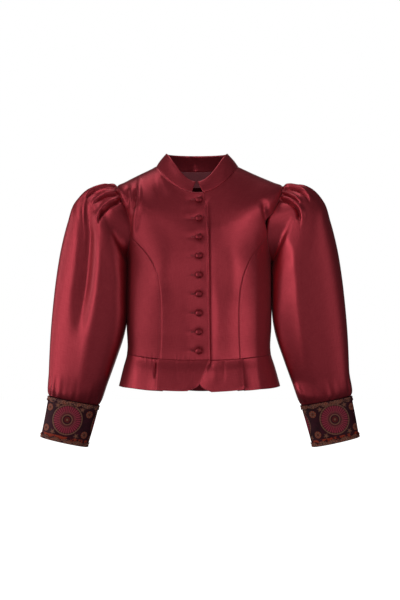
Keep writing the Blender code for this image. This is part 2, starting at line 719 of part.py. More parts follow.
def add_buttons(collection, over_front):
    tree = panel_tree(over_front)
    ahead = 400.0
    for number in range(BUTTONS):
        level = BUTTON_FIRST_Z - BUTTON_PITCH * number
        place, normal, *_ = tree.ray_cast(Vector((BUTTON_X, -ahead, level)), Vector((0, 1, 0)))
        if normal.y > 0:
            normal.negate()
        lift = seat_height(tree, place, normal, BUTTON_RADIUS) + BODICE_WALL / 2 + GAP
        button = add_object(f"button_{number + 1}", button_mesh(), "satin", collection)
        button.location = (place + normal * lift) * MM
        button.rotation_euler = normal.to_track_quat("Z", "Y").to_euler()
        turned = button.modifiers.new("turned", "SCREW")
        turned.steps = turned.render_steps = 14
        turned.use_merge_vertices = True
        turned.merge_threshold = 0.0001
        turned.use_normal_flip = True


def main():
    for leftover in list(bpy.data.objects):
        bpy.data.objects.remove(leftover, do_unlink=True)
    jacket = bpy.data.collections.new("puff_sleeve_jacket")
    bpy.context.scene.collection.children.link(jacket)
    add_bodice(jacket)
    add_peplum(jacket)
    add_collar(jacket)
    add_sleeves(jacket)
    add_cuffs(jacket)
    add_buttons(jacket, front_points(-1))


main()
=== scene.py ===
# Puff sleeve jacket in wine-red satin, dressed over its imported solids.
# The front faces -Y and +X is the wearer's left. Tables are in millimetres and degrees. Every
# bodice piece is cut from one surface, torso(around, station), as its solid is: around is the
# angle from centre front (0) over the wearer's left side (90), and station is the length up the
# side seam from the waist and on over the shoulder to the neck.

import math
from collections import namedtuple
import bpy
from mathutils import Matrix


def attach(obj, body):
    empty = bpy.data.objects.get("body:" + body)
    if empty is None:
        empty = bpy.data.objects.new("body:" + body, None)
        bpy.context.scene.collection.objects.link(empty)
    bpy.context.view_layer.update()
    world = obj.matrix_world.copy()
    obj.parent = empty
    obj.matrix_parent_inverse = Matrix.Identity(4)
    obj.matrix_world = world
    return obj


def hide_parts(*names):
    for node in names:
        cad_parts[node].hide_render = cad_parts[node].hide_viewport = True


bl_info = {
    "name": "Puff Sleeve Jacket",
    "version": (1, 0, 0),
    "blender": (4, 5, 0),
    "location": "View3D > Sidebar > Jacket",
    "description": "Dresses a puff sleeve jacket in satin, covered buttons and figured cuffs",
    "category": "Object",
}

from types import SimpleNamespace

import bmesh
import bpy
import numpy as np
from bpy.props import FloatProperty, FloatVectorProperty, PointerProperty
from mathutils import Matrix, Vector
from mathutils.bvhtree import BVHTree

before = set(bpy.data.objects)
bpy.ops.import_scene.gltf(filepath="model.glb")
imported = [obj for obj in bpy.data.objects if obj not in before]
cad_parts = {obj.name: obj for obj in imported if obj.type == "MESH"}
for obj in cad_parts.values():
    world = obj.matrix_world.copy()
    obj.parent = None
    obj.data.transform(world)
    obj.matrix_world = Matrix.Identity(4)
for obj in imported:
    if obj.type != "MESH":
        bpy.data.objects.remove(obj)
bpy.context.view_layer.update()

MM = 0.001
BODY = "root"
SIDES = (-1, 1)  # the wearer's right and left

# Stations of the bodice
HEM, WAIST, UNDERARM, TIP, NECK = -71.0, 0.0, 198.0, 370.0, 470.0

Ring = namedtuple(
    "Ring", "station half_width side_z front_z back_z front_y back_y squareness shift_x"
)
TORSO_RINGS = {
    "hem": Ring(HEM, 174.0, -481.0, -489.0, -500.0, 121.0, 120.0, 2.25, 0.0),
    "flare": Ring(-30.0, 163.0, -440.0, -448.0, -448.0, 108.0, 100.0, 2.25, 0.0),
    "waist": Ring(WAIST, 154.0, -411.0, -422.0, -414.0, 98.0, 84.0, 2.3, 0.0),
    "ribs": Ring(61.0, 155.0, -350.0, -359.0, -348.0, 105.0, 90.0, 2.3, 0.0),
    "under_bust": Ring(111.0, 156.0, -300.0, -306.0, -297.0, 112.0, 97.0, 2.3, 0.0),
    "bust": Ring(171.0, 156.0, -240.0, -246.0, -236.0, 117.0, 102.0, 2.3, 0.0),
    "underarm": Ring(UNDERARM, 155.0, -213.0, -219.0, -207.0, 117.0, 104.0, 2.3, 0.0),
    "chest": Ring(300.0, 166.0, -110.0, -152.0, -125.0, 109.0, 106.0, 2.3, 0.0),
    "shoulder_tip": Ring(TIP, 180.0, -43.0, -123.0, -78.0, 100.0, 99.0, 2.25, 0.0),
    "mid_shoulder": Ring(420.0, 134.0, -21.5, -94.0, -40.0, 90.0, 84.0, 2.15, -5.0),
    "neck": Ring(NECK, 88.0, 0.0, -62.5, -5.0, 78.0, 60.0, 2.1, -6.0),
}
RINGS = list(TORSO_RINGS.values())
TIP_TURN, TIP_TURN_SPREAD = 18.0, 16
BUST_X, BUST_Z = 76.0, -236.0
BUST_ACROSS, BUST_DOWN, BUST_DEPTH = 46.0, 52.0, 11.0

# The armhole is an oval in (around, station)
ARMHOLE_MIDDLE = (UNDERARM + TIP) / 2
ARMHOLE_HALF_HEIGHT = (TIP - UNDERARM) / 2
ARMHOLE_FRONT_REACH, ARMHOLE_BACK_REACH = 30.0, 27.0
PRINCESS_TURN = 105.0  # of the armhole's turn from the tip, where the princess seam ends

Reach = namedtuple("Reach", "station x")
PRINCESS = (
    Reach(WAIST, 82.5), Reach(61.0, 80.0), Reach(111.0, 80.0), Reach(150.0, 83.0),
    Reach(185.0, 92.0), Reach(215.0, 107.0), Reach(240.0, 126.0),
)
FRONT_EDGE = (Reach(WAIST, 19.5), Reach(120.0, 17.5), Reach(300.0, 16.0), Reach(NECK, 14.0))
UNDER_EDGE = -17.0
CORNER = 7.0
Cutaway = namedtuple("Cutaway", "station over_front_x under_front_x")
CUTAWAY = (
    Cutaway(HEM, -26.0, 24.0),
    Cutaway(-63.0, -8.0, 6.0),
    Cutaway(-52.0, 1.0, -3.0),
    Cutaway(-38.0, 7.0, -9.0),
    Cutaway(-20.0, 15.0, -15.0),
    Cutaway(WAIST, 19.5, -17.0),
)
OVERLAP_FULL, OVERLAP_REACH = 22.0, 46.0
OVER_LIFT, UNDER_SINK = 1.2, 1.4
FACING_GAP = 0.35  # between the back and the neck facing
# How far the lap's edge stands off the front under it, and how far in from the edge
LAP_STAND, LAP_STAND_REACH, LAP_STAND_NECK_FADE = 2.0, 7.0, 4.0
# The under front's trough beside that edge, which starts below the neck
TROUGH_DEPTH, TROUGH_ASIDE, TROUGH_WIDTH = 4.0, 1.5, 3.2
TROUGH_BELOW_NECK, TROUGH_NECK_FADE, TROUGH_PEPLUM_FADE = 14.0, 38.0, 40.0

PLEAT_EDGE, PLEAT_FADE = 90.0, 48.0
PLEAT_SEAM = (82.5, 77.0)
PLEAT_STEP = (1.75, 2.9)
PLEAT_UNDER_REACH = 6.0  # how far the underlay goes on flat past the pleat's edge
PRESSED_FADE = 10.0  # over which the pressed lines start below the waist
# The soft flutes of the peplum's back, which deepen towards its hem
FLUTE_DEPTH, FLUTES_ROUND, FLUTE_START, FLUTE_FADE = 2.2, 9, 20, 60.0

# Little gathers at the waist, as (from x, to x, strength) seen from the front
PUCKERS = ((-119, -95, 1.0), (-56, -8, 0.8), (4, 26, 0.5), (-165, -130, 0.3))
PUCKER_DEPTH, PUCKER_PITCH, PUCKER_REACH = 1.1, 7.3, 8.0
PUCKERS_PAST, PUCKERS_FADE = 5, 8  # how far they go on past the stated ends, and fade there

CollarTop = namedtuple("CollarTop", "half_width side_z front_z front_y back_z back_y droop")
COLLAR_TOP = CollarTop(66.5, 28.0, -38.0, 65.0, 28.5, 47.0, 2.7)
COLLAR_SHIFT = -7.0
COLLAR_ENDS = (8.0, 1.4)
# The neck's edge is caught in the collar's foot, and the band bows out a little
COLLAR_AWAY, COLLAR_OUT, COLLAR_BOW = -0.9, 0.5, 1.5
COLLAR_ROWS = 14

Section = namedtuple("Section", "station outer_x outer_z inner_x inner_z front_y back_y")
SLEEVE_SECTIONS = (
    Section(30.0, 210.0, -45.0, 157.4, -217.0, 63.0, 58.0),
    Section(65.0, 245.0, -52.0, 157.8, -223.0, 73.0, 69.0),
    Section(105.0, 274.0, -80.0, 158.2, -235.0, 79.0, 74.0),
    Section(150.0, 289.0, -122.0, 158.4, -255.0, 81.0, 75.0),
    Section(205.0, 303.0, -176.0, 158.7, -285.0, 77.0, 71.0),
    Section(265.0, 313.5, -236.0, 159.6, -326.0, 71.0, 65.0),
    Section(335.0, 322.0, -306.0, 167.5, -371.0, 63.0, 57.0),
    Section(405.0, 328.0, -376.0, 184.0, -421.0, 54.0, 49.0),
    Section(475.0, 331.5, -447.0, 203.0, -474.0, 44.0, 41.0),
    Section(525.0, 333.5, -494.0, 219.0, -517.0, 34.0, 33.0),
    Section(541.0, 331.6, -502.3, 223.4, -523.4, 28.5, 28.5),
)
ABOVE_CUFF, DRAWN_IN = 470.0, 60.0  # where the sleeve starts to draw in to its cuff, and how soon
LEFT_SLEEVE_IN = 5.0
SLEEVE_RIDGE = -0.25  # where the long ridge down the front lies, from -1 inside to 1 outside
SLEEVE_FLATNESS = 1.6  # how much squarer the front is on the flat side of its ridge
# Right and left: how far the other side slants, and how sharply it turns under
SLEEVE_SLANT, SLEEVE_TURN = (0.48, 0.4), (2.0, 8.0)
RIDGE_BLUNTNESS, RIDGE_BLEND = 0.08, 0.15
# Stations below the armhole where these start, and how soon they are full
RIDGE_START, RIDGE_FULL, TURN_START, TURN_FULL, IN_FULL = 8.0, 50.0, 20.0, 130.0, 60.0
# How the sleeve's seam stands clear of the armhole: more below this turn, up to the underarm's
ARMHOLE_AWAY, SHOULDER_OUT, UNDERARM_OUT, SHOULDER_TURN = 1.0, 0.3, 1.75, 60.0
SEAM_TURNED_IN = 5.0  # the sleeve's seam allowance, turned in behind the armhole
Pleat = namedtuple("Pleat", "turn height half_width")
RIGHT_PLEATS = (
    Pleat(-66.0, 5.5, 8.0), Pleat(-49.0, 7.5, 9.0), Pleat(-32.0, 8.0, 8.5), Pleat(-14.0, 6.5, 9.0),
    Pleat(7.0, 7.0, 10.0), Pleat(27.0, 7.5, 9.0), Pleat(45.0, 6.5, 9.0), Pleat(63.0, 5.0, 9.0),
)
LEFT_PLEATS = (
    Pleat(-68.0, 5.0, 9.0), Pleat(-50.0, 8.0, 9.0), Pleat(-31.0, 7.0, 9.0), Pleat(-13.0, 7.5, 8.5),
    Pleat(6.0, 6.0, 9.5), Pleat(24.0, 7.0, 9.0), Pleat(43.0, 7.5, 9.0), Pleat(62.0, 5.5, 9.0),
)
PLEAT_RISE, PLEAT_LENGTH, PLEAT_START, PLEAT_TAIL, PLEAT_FULLNESS = 26.0, 150.0, 8.0, 0.3, 0.85
PLEAT_FAN, PLEAT_WIDENING = 1000.0, 220.0  # lengths over which pleats fan out and widen
# On the front, up to this turn, the tucks are placed by their lines, and the pleats hardly show
LINED_TUCKS_END, LINED_SHARE, PLEAT_SHARE = -15.0, 0.05, 0.85
# The gathers above the cuff, in two uneven waves, and the row where they end in its seam
GATHERS_ROUND, GATHERS_LENGTH, CUFF_SEAM, CUFF_SEAM_LENGTH = (17, 26), 50.0, 531.0, 10.0
# How the sleeve's creases fade towards its seams, and what is left of them in the first rows
CREASES_START, CREASES_END, CREASES_LAST = 10.0, 505.0, 30.0
SEAM_CREASES, SEAM_CREASES_END = 0.35, 12

CuffEnd = namedtuple("CuffEnd", "outer_x outer_z inner_x inner_z half_depth")
CUFF_TOP = CuffEnd(332.0, -503.0, 222.8, -524.0, 28.5)
CUFF_BOTTOM = CuffEnd(349.0, -593.5, 248.8, -615.5, 28.5)
CUFF_SQUARENESS = 2.2
SCALLOPS = 13
TRIM_SET_IN = 0.8
TRIM_HEIGHT = (5.5, 9.5)
CUFF_LENGTH = math.dist(CUFF_TOP[:2], CUFF_BOTTOM[:2])
CUFF_COLUMNS, CUFF_ROWS = 144, 48
CUFF_DENT, CUFF_DENTS = 0.9, 3

# The figured cloth's design, across and up from the cuff's middle line
CUFF_GIRTH = 270.0
MEDALLIONS = 3
MEDALLION_UP = 5.0
FLOWER_UP, FLOWER_DOWN = 24.0, -21.0
SPRIG_MIDDLE, SPRIG_ASIDE, SPRIG_UP = 3.0, 27.0, 29.0
MEDALLION_TURN = (272.5, 278.5)  # where one faces the front on the right and the left cuff

# The edging's cords, as shares of its height: the heading's and the outer one's middle and reach
CORD_HEIGHT, EDGING_GAP = 0.9, 0.35
HEADING, OUTER_CORD = (0.12, 0.14), (0.86, 0.16)
HEADING_SHARE, TWISTS, TWIST_LEAN = 0.7, 6, 4.0  # twists in each scallop
SCALLOP_COLUMNS, EDGING_ROWS = 24, 8

BUTTON_X, BUTTONS, BUTTON_FIRST_Z, BUTTON_PITCH = -2.0, 9, -78.0, 40.3
# How a sewn button draws the front in, and the small drags beside it
Drag = namedtuple("Drag", "depth x z width height")
BUTTON_DRAGS = (
    Drag(2.8, 0.0, 0.0, 8.5, 8.5), Drag(0.8, -14.0, -1.5, 13.0, 4.0),
    Drag(-0.5, -16.0, 9.0, 15.0, 6.0),
)

# The eye that sees the front, for placing creases as the front view shows them
EYE_DISTANCE, EYE_Z = 3000.0, -292.6

# A crease by its line as seen from the front: (x, z) in the plane of the neck's middle.
# Height is plus for a ridge and minus for a trough. Kind is soft (round), crisp (bent along the
# line), steep_left and steep_right (bent, and steep on that side only) or over_left and over_right:
# a tuck with its upper layer on that side of the line. Start and end are its strength there.
Crease = namedtuple("Crease", "kind height width start end line")
RIGHT_SLEEVE_CREASES = (
    Crease("over_right", 7.0, 7.0, 0.8, 0.0,
           ((-175, -45), (-198, -41), (-215, -44), (-233, -49), (-246, -62), (-253, -79))),
    Crease("over_right", 10.0, 9.0, 0.8, 0.0,
           ((-174, -60), (-200, -62), (-217, -68), (-229, -75), (-240, -84))),
    Crease("over_right", 12.0, 12.0, 0.8, 0.0,
           ((-170, -74), (-184, -78), (-197, -84), (-207, -92), (-215, -101), (-221, -113),
            (-224, -130))),
    Crease("soft", -14.0, 15.0, 0.3, 0.0,
           ((-234, -60), (-245, -76), (-248, -100), (-248, -156), (-253, -230), (-261, -300),
            (-268, -390))),
    Crease("soft", 1.8, 2.2, 0.3, 0.0,
           ((-246, -62), (-255, -80), (-257, -110), (-257, -150), (-260, -215))),
    Crease("steep_right", 3.0, 12.0, 0.3, 0.0,
           ((-217, -104), (-225, -182), (-229, -270), (-246, -358), (-264, -470), (-272, -500))),
)
LEFT_SLEEVE_CREASES = (
    Crease("over_left", 2.5, 8.0, 0.8, 0.0, ((183, -43), (204, -38), (222, -41), (240, -50))),
    Crease("over_left", 9.0, 9.0, 0.8, 0.0,
           ((181, -49), (203, -47), (224, -55), (236, -66), (242, -82))),
    Crease("over_left", 9.0, 8.0, 0.8, 0.0, ((179, -59), (195, -64), (210, -71), (224, -84))),
    Crease("over_left", 12.0, 12.0, 0.8, 0.1,
           ((177, -72), (193, -76), (205, -84), (215, -96), (219, -108), (221, -124))),
    Crease("soft", -5.0, 4.5, 0.2, 0.0, ((205, -82), (213, -93), (216, -106), (217, -120))),
    Crease("steep_right", 3.0, 12.0, 0.3, 0.0,
           ((219, -104), (220, -182), (220, -270), (226, -358), (234, -470), (238, -500))),
)
CHEST_CREASES = (
    Crease("soft", -7.0, 5.5, 0.2, 0.1, ((-158, -44), (-160, -66), (-159, -88), (-156, -102))),
    Crease("soft", -7.5, 5.5, 0.1, 0.0, ((-141, -44), (-142, -66), (-144, -88), (-148, -106))),
    Crease("soft", 6.0, 4.5, 0.2, 0.0, ((-132, -30), (-135, -80), (-138, -120), (-141, -168))),
    Crease("soft", -9.0, 6.0, 0.0, 0.3,
           ((137, -66), (143, -88), (149, -112), (154, -136), (157, -165))),
    Crease("soft", -1.5, 9.0, 0.3, 0.0, ((-88, -14), (-78, -44), (-66, -66))),
    Crease("soft", 1.5, 7.0, 0.3, 0.0, ((-96, -20), (-92, -50), (-82, -84))),
    Crease("crisp", 8.0, 22.0, 0.2, 1.0,
           ((-146, -60), (-146, -180), (-144, -290), (-142, -412), (-148, -500))),
    Crease("steep_left", 9.0, 18.0, 0.0, 1.0,
           ((121, -120), (117, -210), (116, -300), (117, -412), (125, -500))),
    Crease("steep_left", 6.5, 13.0, 0.0, 1.0,
           ((11, -112), (13, -200), (15, -300), (18, -412), (15, -434), (4, -458), (-14, -490))),
    Crease("soft", -2.5, 14.0, 0.0, 0.5, ((44, -150), (42, -260), (42, -400))),
)
BACK_CREASES = (
    Crease("soft", -3.0, 9.0, 0.0, 0.0, ((-150, -60), (-141, -110), (-133, -165), (-126, -210))),
    Crease("soft", -2.5, 9.0, 0.0, 0.0, ((146, -70), (139, -120), (128, -180))),
    Crease("soft", 2.0, 13.0, 0.0, 0.0, ((-40, -120), (-30, -220), (-34, -330))),
    Crease("soft", -2.0, 12.0, 0.0, 0.3, ((30, -250), (36, -330), (31, -405))),
    Crease("soft", -1.5, 6.0, 0.0, 0.0, ((-96, -380), (-60, -388), (-20, -384))),
)
PLEAT_RIDGES = (
    Crease("steep_right", 10.0, 30.0, 1.0, 1.0, ((-92, -418), (-92, -440), (-93, -485))),
    Crease("steep_left", 8.0, 9.0, 1.0, 1.0, ((93, -418), (93, -440), (94, -485))),
    Crease("soft", 3.0, 4.5, 1.0, 1.0, ((90, -418), (90, -440), (91, -485))),
)
PRESSED_LINES = (
    Crease("soft", -0.8, 2.2, 0.6, 0.0, ((-52, -416), (-52, -450), (-51, -485))),
    Crease("soft", -0.6, 2.5, 0.5, 0.0, ((-19, -424), (-19, -455), (-20, -485))),
    Crease("soft", 0.8, 2.5, 0.5, 0.0, ((52, -420), (52, -450), (51, -485))),
    Crease("soft", -5.0, 2.2, 0.4, 0.0, ((-96.5, -418), (-97, -440), (-96.5, -470))),
    Crease("soft", -1.5, 8.0, 0.3, 0.0, ((30, -430), (33, -455), (36, -480))),
)
COLLAR_CREASES = (
    Crease("soft", -1.2, 6.0, 0.3, 0.3, ((-62, 8), (-54, -6), (-47, -16))),
    Crease("soft", 1.0, 5.0, 0.3, 0.0, ((-47, 10), (-44, -6), (-40, -22))),
    Crease("soft", -0.8, 5.0, 0.3, 0.0, ((49, 8), (44, -8), (37, -24))),
    Crease("soft", 3.0, 6.0, 0.5, 0.5, ((-14, 26), (-12, 12), (-10, -4))),
    Crease("soft", -2.0, 5.0, 0.5, 0.5, ((-26, 26), (-24, 12), (-21, -4))),
)

# How creases are shaped: the shares of a line over which its ends fade, how blunt a bent crease
# is, how much wider the slow side of a steep one is, and the parts of a tuck, as shares of its
# height and width: the upper layer's roll, the under layer sinking away, and the groove between
FADE_IN, FADE_OUT = 0.3, 0.4
CRISP_TIP, STEEP_TIP, SLOW_SIDE = 0.3, 0.35, 3.5
ROLL_HEIGHT, ROLL_ASIDE, ROLL_WIDTH = 0.45, 0.5, 0.55
UNDER_DEPTH, UNDER_STEP = 0.35, 3.0
GROOVE_DEPTH, GROOVE_WIDTH = 0.6, 0.25


# Curves

def smooth_row(rows, at):
    """Each column of a table as a smooth curve of its first one."""
    table = np.array(rows, float)
    knots, values = table[:, 0], table[:, 1:]
    steps = np.diff(knots)[:, None]
    slopes = np.diff(values, axis=0) / steps
    inner = (slopes[:-1] * steps[1:] + slopes[1:] * steps[:-1]) / (steps[1:] + steps[:-1])
    tangents = np.vstack([slopes[:1], inner, slopes[-1:]])
    at = np.asarray(at, float)
    span = np.clip(np.searchsorted(knots, at, side="right") - 1, 0, len(steps) - 1)
    width = steps[span, 0]
    u = ((at - knots[span]) / width)[..., None]
    width = width[..., None]
    return (
        (1 + 2 * u) * (1 - u) ** 2 * values[span]
        + u * (1 - u) ** 2 * width * tangents[span]
        + u ** 2 * (3 - 2 * u) * values[span + 1]
        + u ** 2 * (u - 1) * width * tangents[span + 1]
    )


def ease(u):
    u = np.clip(u, 0.0, 1.0)
    return u * u * (3 - 2 * u)


def unit(vectors):
    return vectors / np.maximum(np.linalg.norm(vectors, axis=-1, keepdims=True), 1e-9)


def between(start, end, count):
    start, end = np.array(start), np.array(end)
    return start + (end - start) * np.linspace(0, 1, count + 1)[:, None]


# The bodice's surface

def rings_with_turn():
    """The rings with two more by the shoulder tip, on the straight lines that meet there."""
    tip = RINGS.index(TORSO_RINGS["shoulder_tip"])
    turned = RINGS[:tip]
    for neighbour, at in ((RINGS[tip - 1], TIP - TIP_TURN), (RINGS[tip + 1], TIP + TIP_TURN)):
        share = (at - TIP) / (neighbour.station - TIP)
        straight = Ring(*(np.array(RINGS[tip]) * (1 - share) + np.array(neighbour) * share))
        level = Ring(at, *smooth_row(RINGS, at))
        turned.append(level._replace(half_width=straight.half_width, side_z=straight.side_z))
    turned.insert(tip + 1, RINGS[tip])
    return turned + RINGS[tip + 1:]


def torso(around, station):
    """Points of the surface that the bodice and the peplum are cut from."""
    angle = np.radians(around)
    sine, cosine = np.sin(angle), np.cos(angle)
    rounded = smooth_row(RINGS, station)
    angular = smooth_row(rings_with_turn(), station)
    columns = rounded + (angular - rounded) * (sine ** TIP_TURN_SPREAD)[..., None]
    half_width, side_z, front_z, back_z, front_y, back_y, square, shift = (
        np.moveaxis(columns, -1, 0)
    )
    reach = (abs(sine) ** square + abs(cosine) ** square) ** (-1 / square)
    front = cosine >= 0
    x = half_width * reach * sine
    y = -np.where(front, front_y, back_y) * reach * cosine
    z = side_z + (np.where(front, front_z, back_z) - side_z) * cosine ** 2
    mound = ((abs(x) - BUST_X) / BUST_ACROSS) ** 2 + ((z - BUST_Z) / BUST_DOWN) ** 2
    y = y - np.where(front, BUST_DEPTH * np.exp(-mound) * ease(cosine * 3), 0.0)
    return np.stack([x + shift, y, z], axis=-1)


def torso_normal(around, station):
    along = torso(around + 0.5, station) - torso(around - 0.5, station)
    upward = torso(around, station + 0.5) - torso(around, station - 0.5)
    return unit(np.cross(along, upward))


def around_at(x, station):
    """Angle on the front of the surface at a distance from its middle."""
    columns = smooth_row(RINGS, station)
    half_width, *_, square, _ = np.moveaxis(columns, -1, 0)
    share = np.maximum(np.abs(x) / half_width, 1e-6)
    cotangent = (share ** -square - 1) ** (1 / square)
    return np.degrees(np.arctan2(1.0, cotangent)) * np.sign(x)


def armhole(turn):
    """(around, station) on the left armhole, turned from the shoulder tip: minus to the front."""
    turned = np.radians(turn)
    reach = np.where(np.asarray(turn) < 0, ARMHOLE_FRONT_REACH, ARMHOLE_BACK_REACH)
    station = ARMHOLE_MIDDLE + ARMHOLE_HALF_HEIGHT * np.cos(turned)
    return np.stack([90.0 + reach * np.sin(turned), station], axis=-1)


# Seams as rows of (around, station) on the wearer's left, fine enough for creases

BODICE_ROWS, SHOULDER_ROWS, NECK_ROWS, BACK_COLUMNS = 130, 56, 30, 84
ARMHOLE_STEP = 1.5
CORNER_ROWS = 5
ARMHOLE_ROWS = int(PRINCESS_TURN / ARMHOLE_STEP)
UNDERARM_COLUMNS = int((180.0 - PRINCESS_TURN) / ARMHOLE_STEP)


def princess_seam():
    end = armhole(-PRINCESS_TURN)
    end_x = torso(end[0], end[1])[0] - smooth_row(RINGS, end[1])[-1]
    station = np.linspace(WAIST, end[1], BODICE_ROWS + 1)
    x = smooth_row(PRINCESS + ((end[1], end_x),), station)[:, 0]
    seam = np.stack([around_at(x, station), station], axis=-1)
    seam[-1] = end
    return seam


def side_seam():
    station = np.linspace(WAIST, UNDERARM, BODICE_ROWS + 1)
    return np.stack([np.full_like(station, 90.0), station], axis=-1)


def neck_seam(count):
    return between((COLLAR_ENDS[0], NECK), (90.0, NECK), count)


def shoulder_seam():
    station = np.linspace(TIP, NECK, SHOULDER_ROWS + 1)
    return np.stack([np.full_like(station, 90.0), station], axis=-1)


def patch(left, right, bottom, top):
    """Grid of (around, station) spread between four seams that share their corners."""
    t = np.linspace(0, 1, len(left))[:, None, None]
    s = np.linspace(0, 1, len(bottom))[None, :, None]
    ruled = (1 - s) * left[:, None] + s * right[:, None] + (1 - t) * bottom[None] + t * top[None]
    lower = (1 - s) * bottom[0] + s * bottom[-1]
    upper = (1 - s) * top[0] + s * top[-1]
    return ruled - ((1 - t) * lower + t * upper)


# Creases

def as_seen(points):
    """Where points appear from the front, in the plane of the neck's middle."""
    nearer = EYE_DISTANCE / (EYE_DISTANCE + points[..., 1])
    return np.stack([points[..., 0] * nearer, EYE_Z + (points[..., 2] - EYE_Z) * nearer], axis=-1)


def rounded_line(line, steps=6):
    knots = np.arange(len(line))
    fine = np.linspace(0, len(line) - 1, (len(line) - 1) * steps + 1)
    return smooth_row(np.column_stack([knots, np.array(line, float)]), fine)


def beside(places, line):
    """How far places lie to the left of a line, and the share of its length that they are at."""
    line = rounded_line(line)
    lengths = np.linalg.norm(np.diff(line, axis=0), axis=1)
    starts = np.concatenate([[0.0], np.cumsum(lengths)])
    nearest = np.full(places.shape[:-1], 1e9)
    left, share = nearest.copy(), nearest.copy()
    for first, second, start, length in zip(line, line[1:], starts, lengths):
        run = (second - first) / length
        offset = places - first
        along = np.clip(offset @ run, 0.0, length)
        away = np.linalg.norm(offset - along[..., None] * run, axis=-1)
        side = np.where(run[0] * offset[..., 1] - run[1] * offset[..., 0] < 0, -1.0, 1.0)
        closer = away < nearest
        nearest = np.where(closer, away, nearest)
        left = np.where(closer, side * away, left)
        share = np.where(closer, (start + along) / starts[-1], share)
    return left, share


def crease_height(places, creases):
    """Height of creases above the plain cloth, where each place appears."""
    total = np.zeros(places.shape[:-1])
    for crease in creases:
        left, share = beside(places, crease.line)
        strength = crease.start + (1 - crease.start) * ease(share / FADE_IN)
        strength *= crease.end + (1 - crease.end) * ease((1 - share) / FADE_OUT)
        if crease.kind == "soft":
            shape = np.exp(-(left / crease.width) ** 2)
        elif crease.kind == "crisp":
            shape = np.exp(CRISP_TIP - np.hypot(left / crease.width, CRISP_TIP))
        elif crease.kind in ("steep_left", "steep_right"):
            slow = np.where((left > 0) == (crease.kind == "steep_right"), SLOW_SIDE, 1.0)
            shape = np.exp(STEEP_TIP - np.hypot(left / (crease.width * slow), STEEP_TIP))
        else:
            across = left if crease.kind == "over_left" else -left
            past_roll = (across - ROLL_ASIDE * crease.width) / (ROLL_WIDTH * crease.width)
            sunk = np.exp(np.clip(across, None, 0) / crease.width) * ease(0.5 - across / UNDER_STEP)
            groove = np.exp(-(across / (GROOVE_WIDTH * crease.width)) ** 2)
            shape = ROLL_HEIGHT * np.exp(-past_roll ** 2) - UNDER_DEPTH * sunk
            shape -= GROOVE_DEPTH * groove
        total += crease.height * strength * shape
    return total


def creased(points, normals, front=(), back=()):
    """Points moved out along their normals by the creases of the side that they face."""
    places = as_seen(points)
    reach, blend = 0.12, 0.3  # of a normal's y, past the sides, where the creases fade out
    faces_front = ease((reach - normals[..., 1]) / blend)
    faces_back = ease((reach + normals[..., 1]) / blend)
    height = crease_height(places, front) * faces_front
    height = height + crease_height(places * (-1, 1), back) * faces_back
    return points + normals * height[..., None]


def edge_runs(points, edges):
    """Distances over the cloth of a grid's points from each of the named edges."""
    across = np.linalg.norm(np.diff(points, axis=1), axis=-1)
    up = np.linalg.norm(np.diff(points, axis=0), axis=-1)
    zero_column = np.zeros((points.shape[0], 1))
    zero_row = np.zeros((1, points.shape[1]))
    runs = {
        "left": np.hstack([zero_column, np.cumsum(across, axis=1)]),
        "right": np.hstack([np.cumsum(across[:, ::-1], axis=1)[:, ::-1], zero_column]),
        "bottom": np.vstack([zero_row, np.cumsum(up, axis=0)]),
        "top": np.vstack([np.cumsum(up[::-1], axis=0)[::-1], zero_row]),
    }
    return {name: runs[name] for name in edges}


def rolled(points, normals, edges, depth=0.08, reach=0.9):
    """Edges that are sewn, rolled down into their seams."""
    nearest = np.min(list(edge_runs(points, edges).values()), axis=0)
    return points - normals * (depth * np.exp(-(nearest / reach) ** 2))[..., None]


# From grids of points to pieces of cloth

def inset(points, edges, gap=0.06):
    """Draws the named edges of a grid in by half a seam's gap."""
    rows = {
        "bottom": (np.s_[0, :], np.s_[1, :]),
        "top": (np.s_[-1, :], np.s_[-2, :]),
        "left": (np.s_[:, 0], np.s_[:, 1]),
        "right": (np.s_[:, -1], np.s_[:, -2]),
    }
    moved = points.copy()
    for name in edges:
        edge, inner = rows[name]
        run = unit(np.gradient(points[edge], axis=0))
        inward = points[inner] - points[edge]
        inward = inward - (inward * run).sum(-1, keepdims=True) * run
        moved[edge] += unit(inward) * gap / 2
    return moved


def cloth_uv(points):
    """Each point's place on the cloth in metres: across it, and up it."""
    across = np.linalg.norm(np.diff(points, axis=1), axis=-1)
    up = np.linalg.norm(np.diff(points, axis=0), axis=-1)
    u = np.hstack([np.zeros((points.shape[0], 1)), np.cumsum(across, axis=1)])
    v = np.vstack([np.zeros((1, points.shape[1])), np.cumsum(up, axis=0)])
    u = u - u.mean(axis=1, keepdims=True)
    v = np.repeat(v.mean(axis=1, keepdims=True), points.shape[1], axis=1)
    return np.stack([u, v], axis=-1) * MM


def grid_mesh(name, points, uv_maps, tube=False):
    """A grid's mesh with its maps of (across, up); loops of a tube are joined after mapping."""
    rows, columns = points.shape[:2]
    build = bmesh.new()
    bmesh.ops.create_grid(build, x_segments=columns - 1, y_segments=rows - 1, size=0.5)
    mesh = bpy.data.meshes.new(name)
    build.to_mesh(mesh)
    mesh.vertices.foreach_set("co", (points.reshape(-1, 3) * MM).astype(np.float32).ravel())
    corner = np.zeros(len(mesh.loops), np.int32)
    mesh.loops.foreach_get("vertex_index", corner)
    for map_name, uv in uv_maps.items():
        layer = mesh.uv_layers.new(name=map_name)
        values = uv(corner.reshape(-1, 4)) if callable(uv) else uv.reshape(-1, 2)[corner]
        layer.data.foreach_set("uv", np.asarray(values, np.float32).ravel())
    if tube:
        build.clear()
        build.from_mesh(mesh)
        bmesh.ops.remove_doubles(build, verts=build.verts, dist=1e-6)
        build.to_mesh(mesh)
    build.free()
    mesh.shade_smooth()
    return mesh


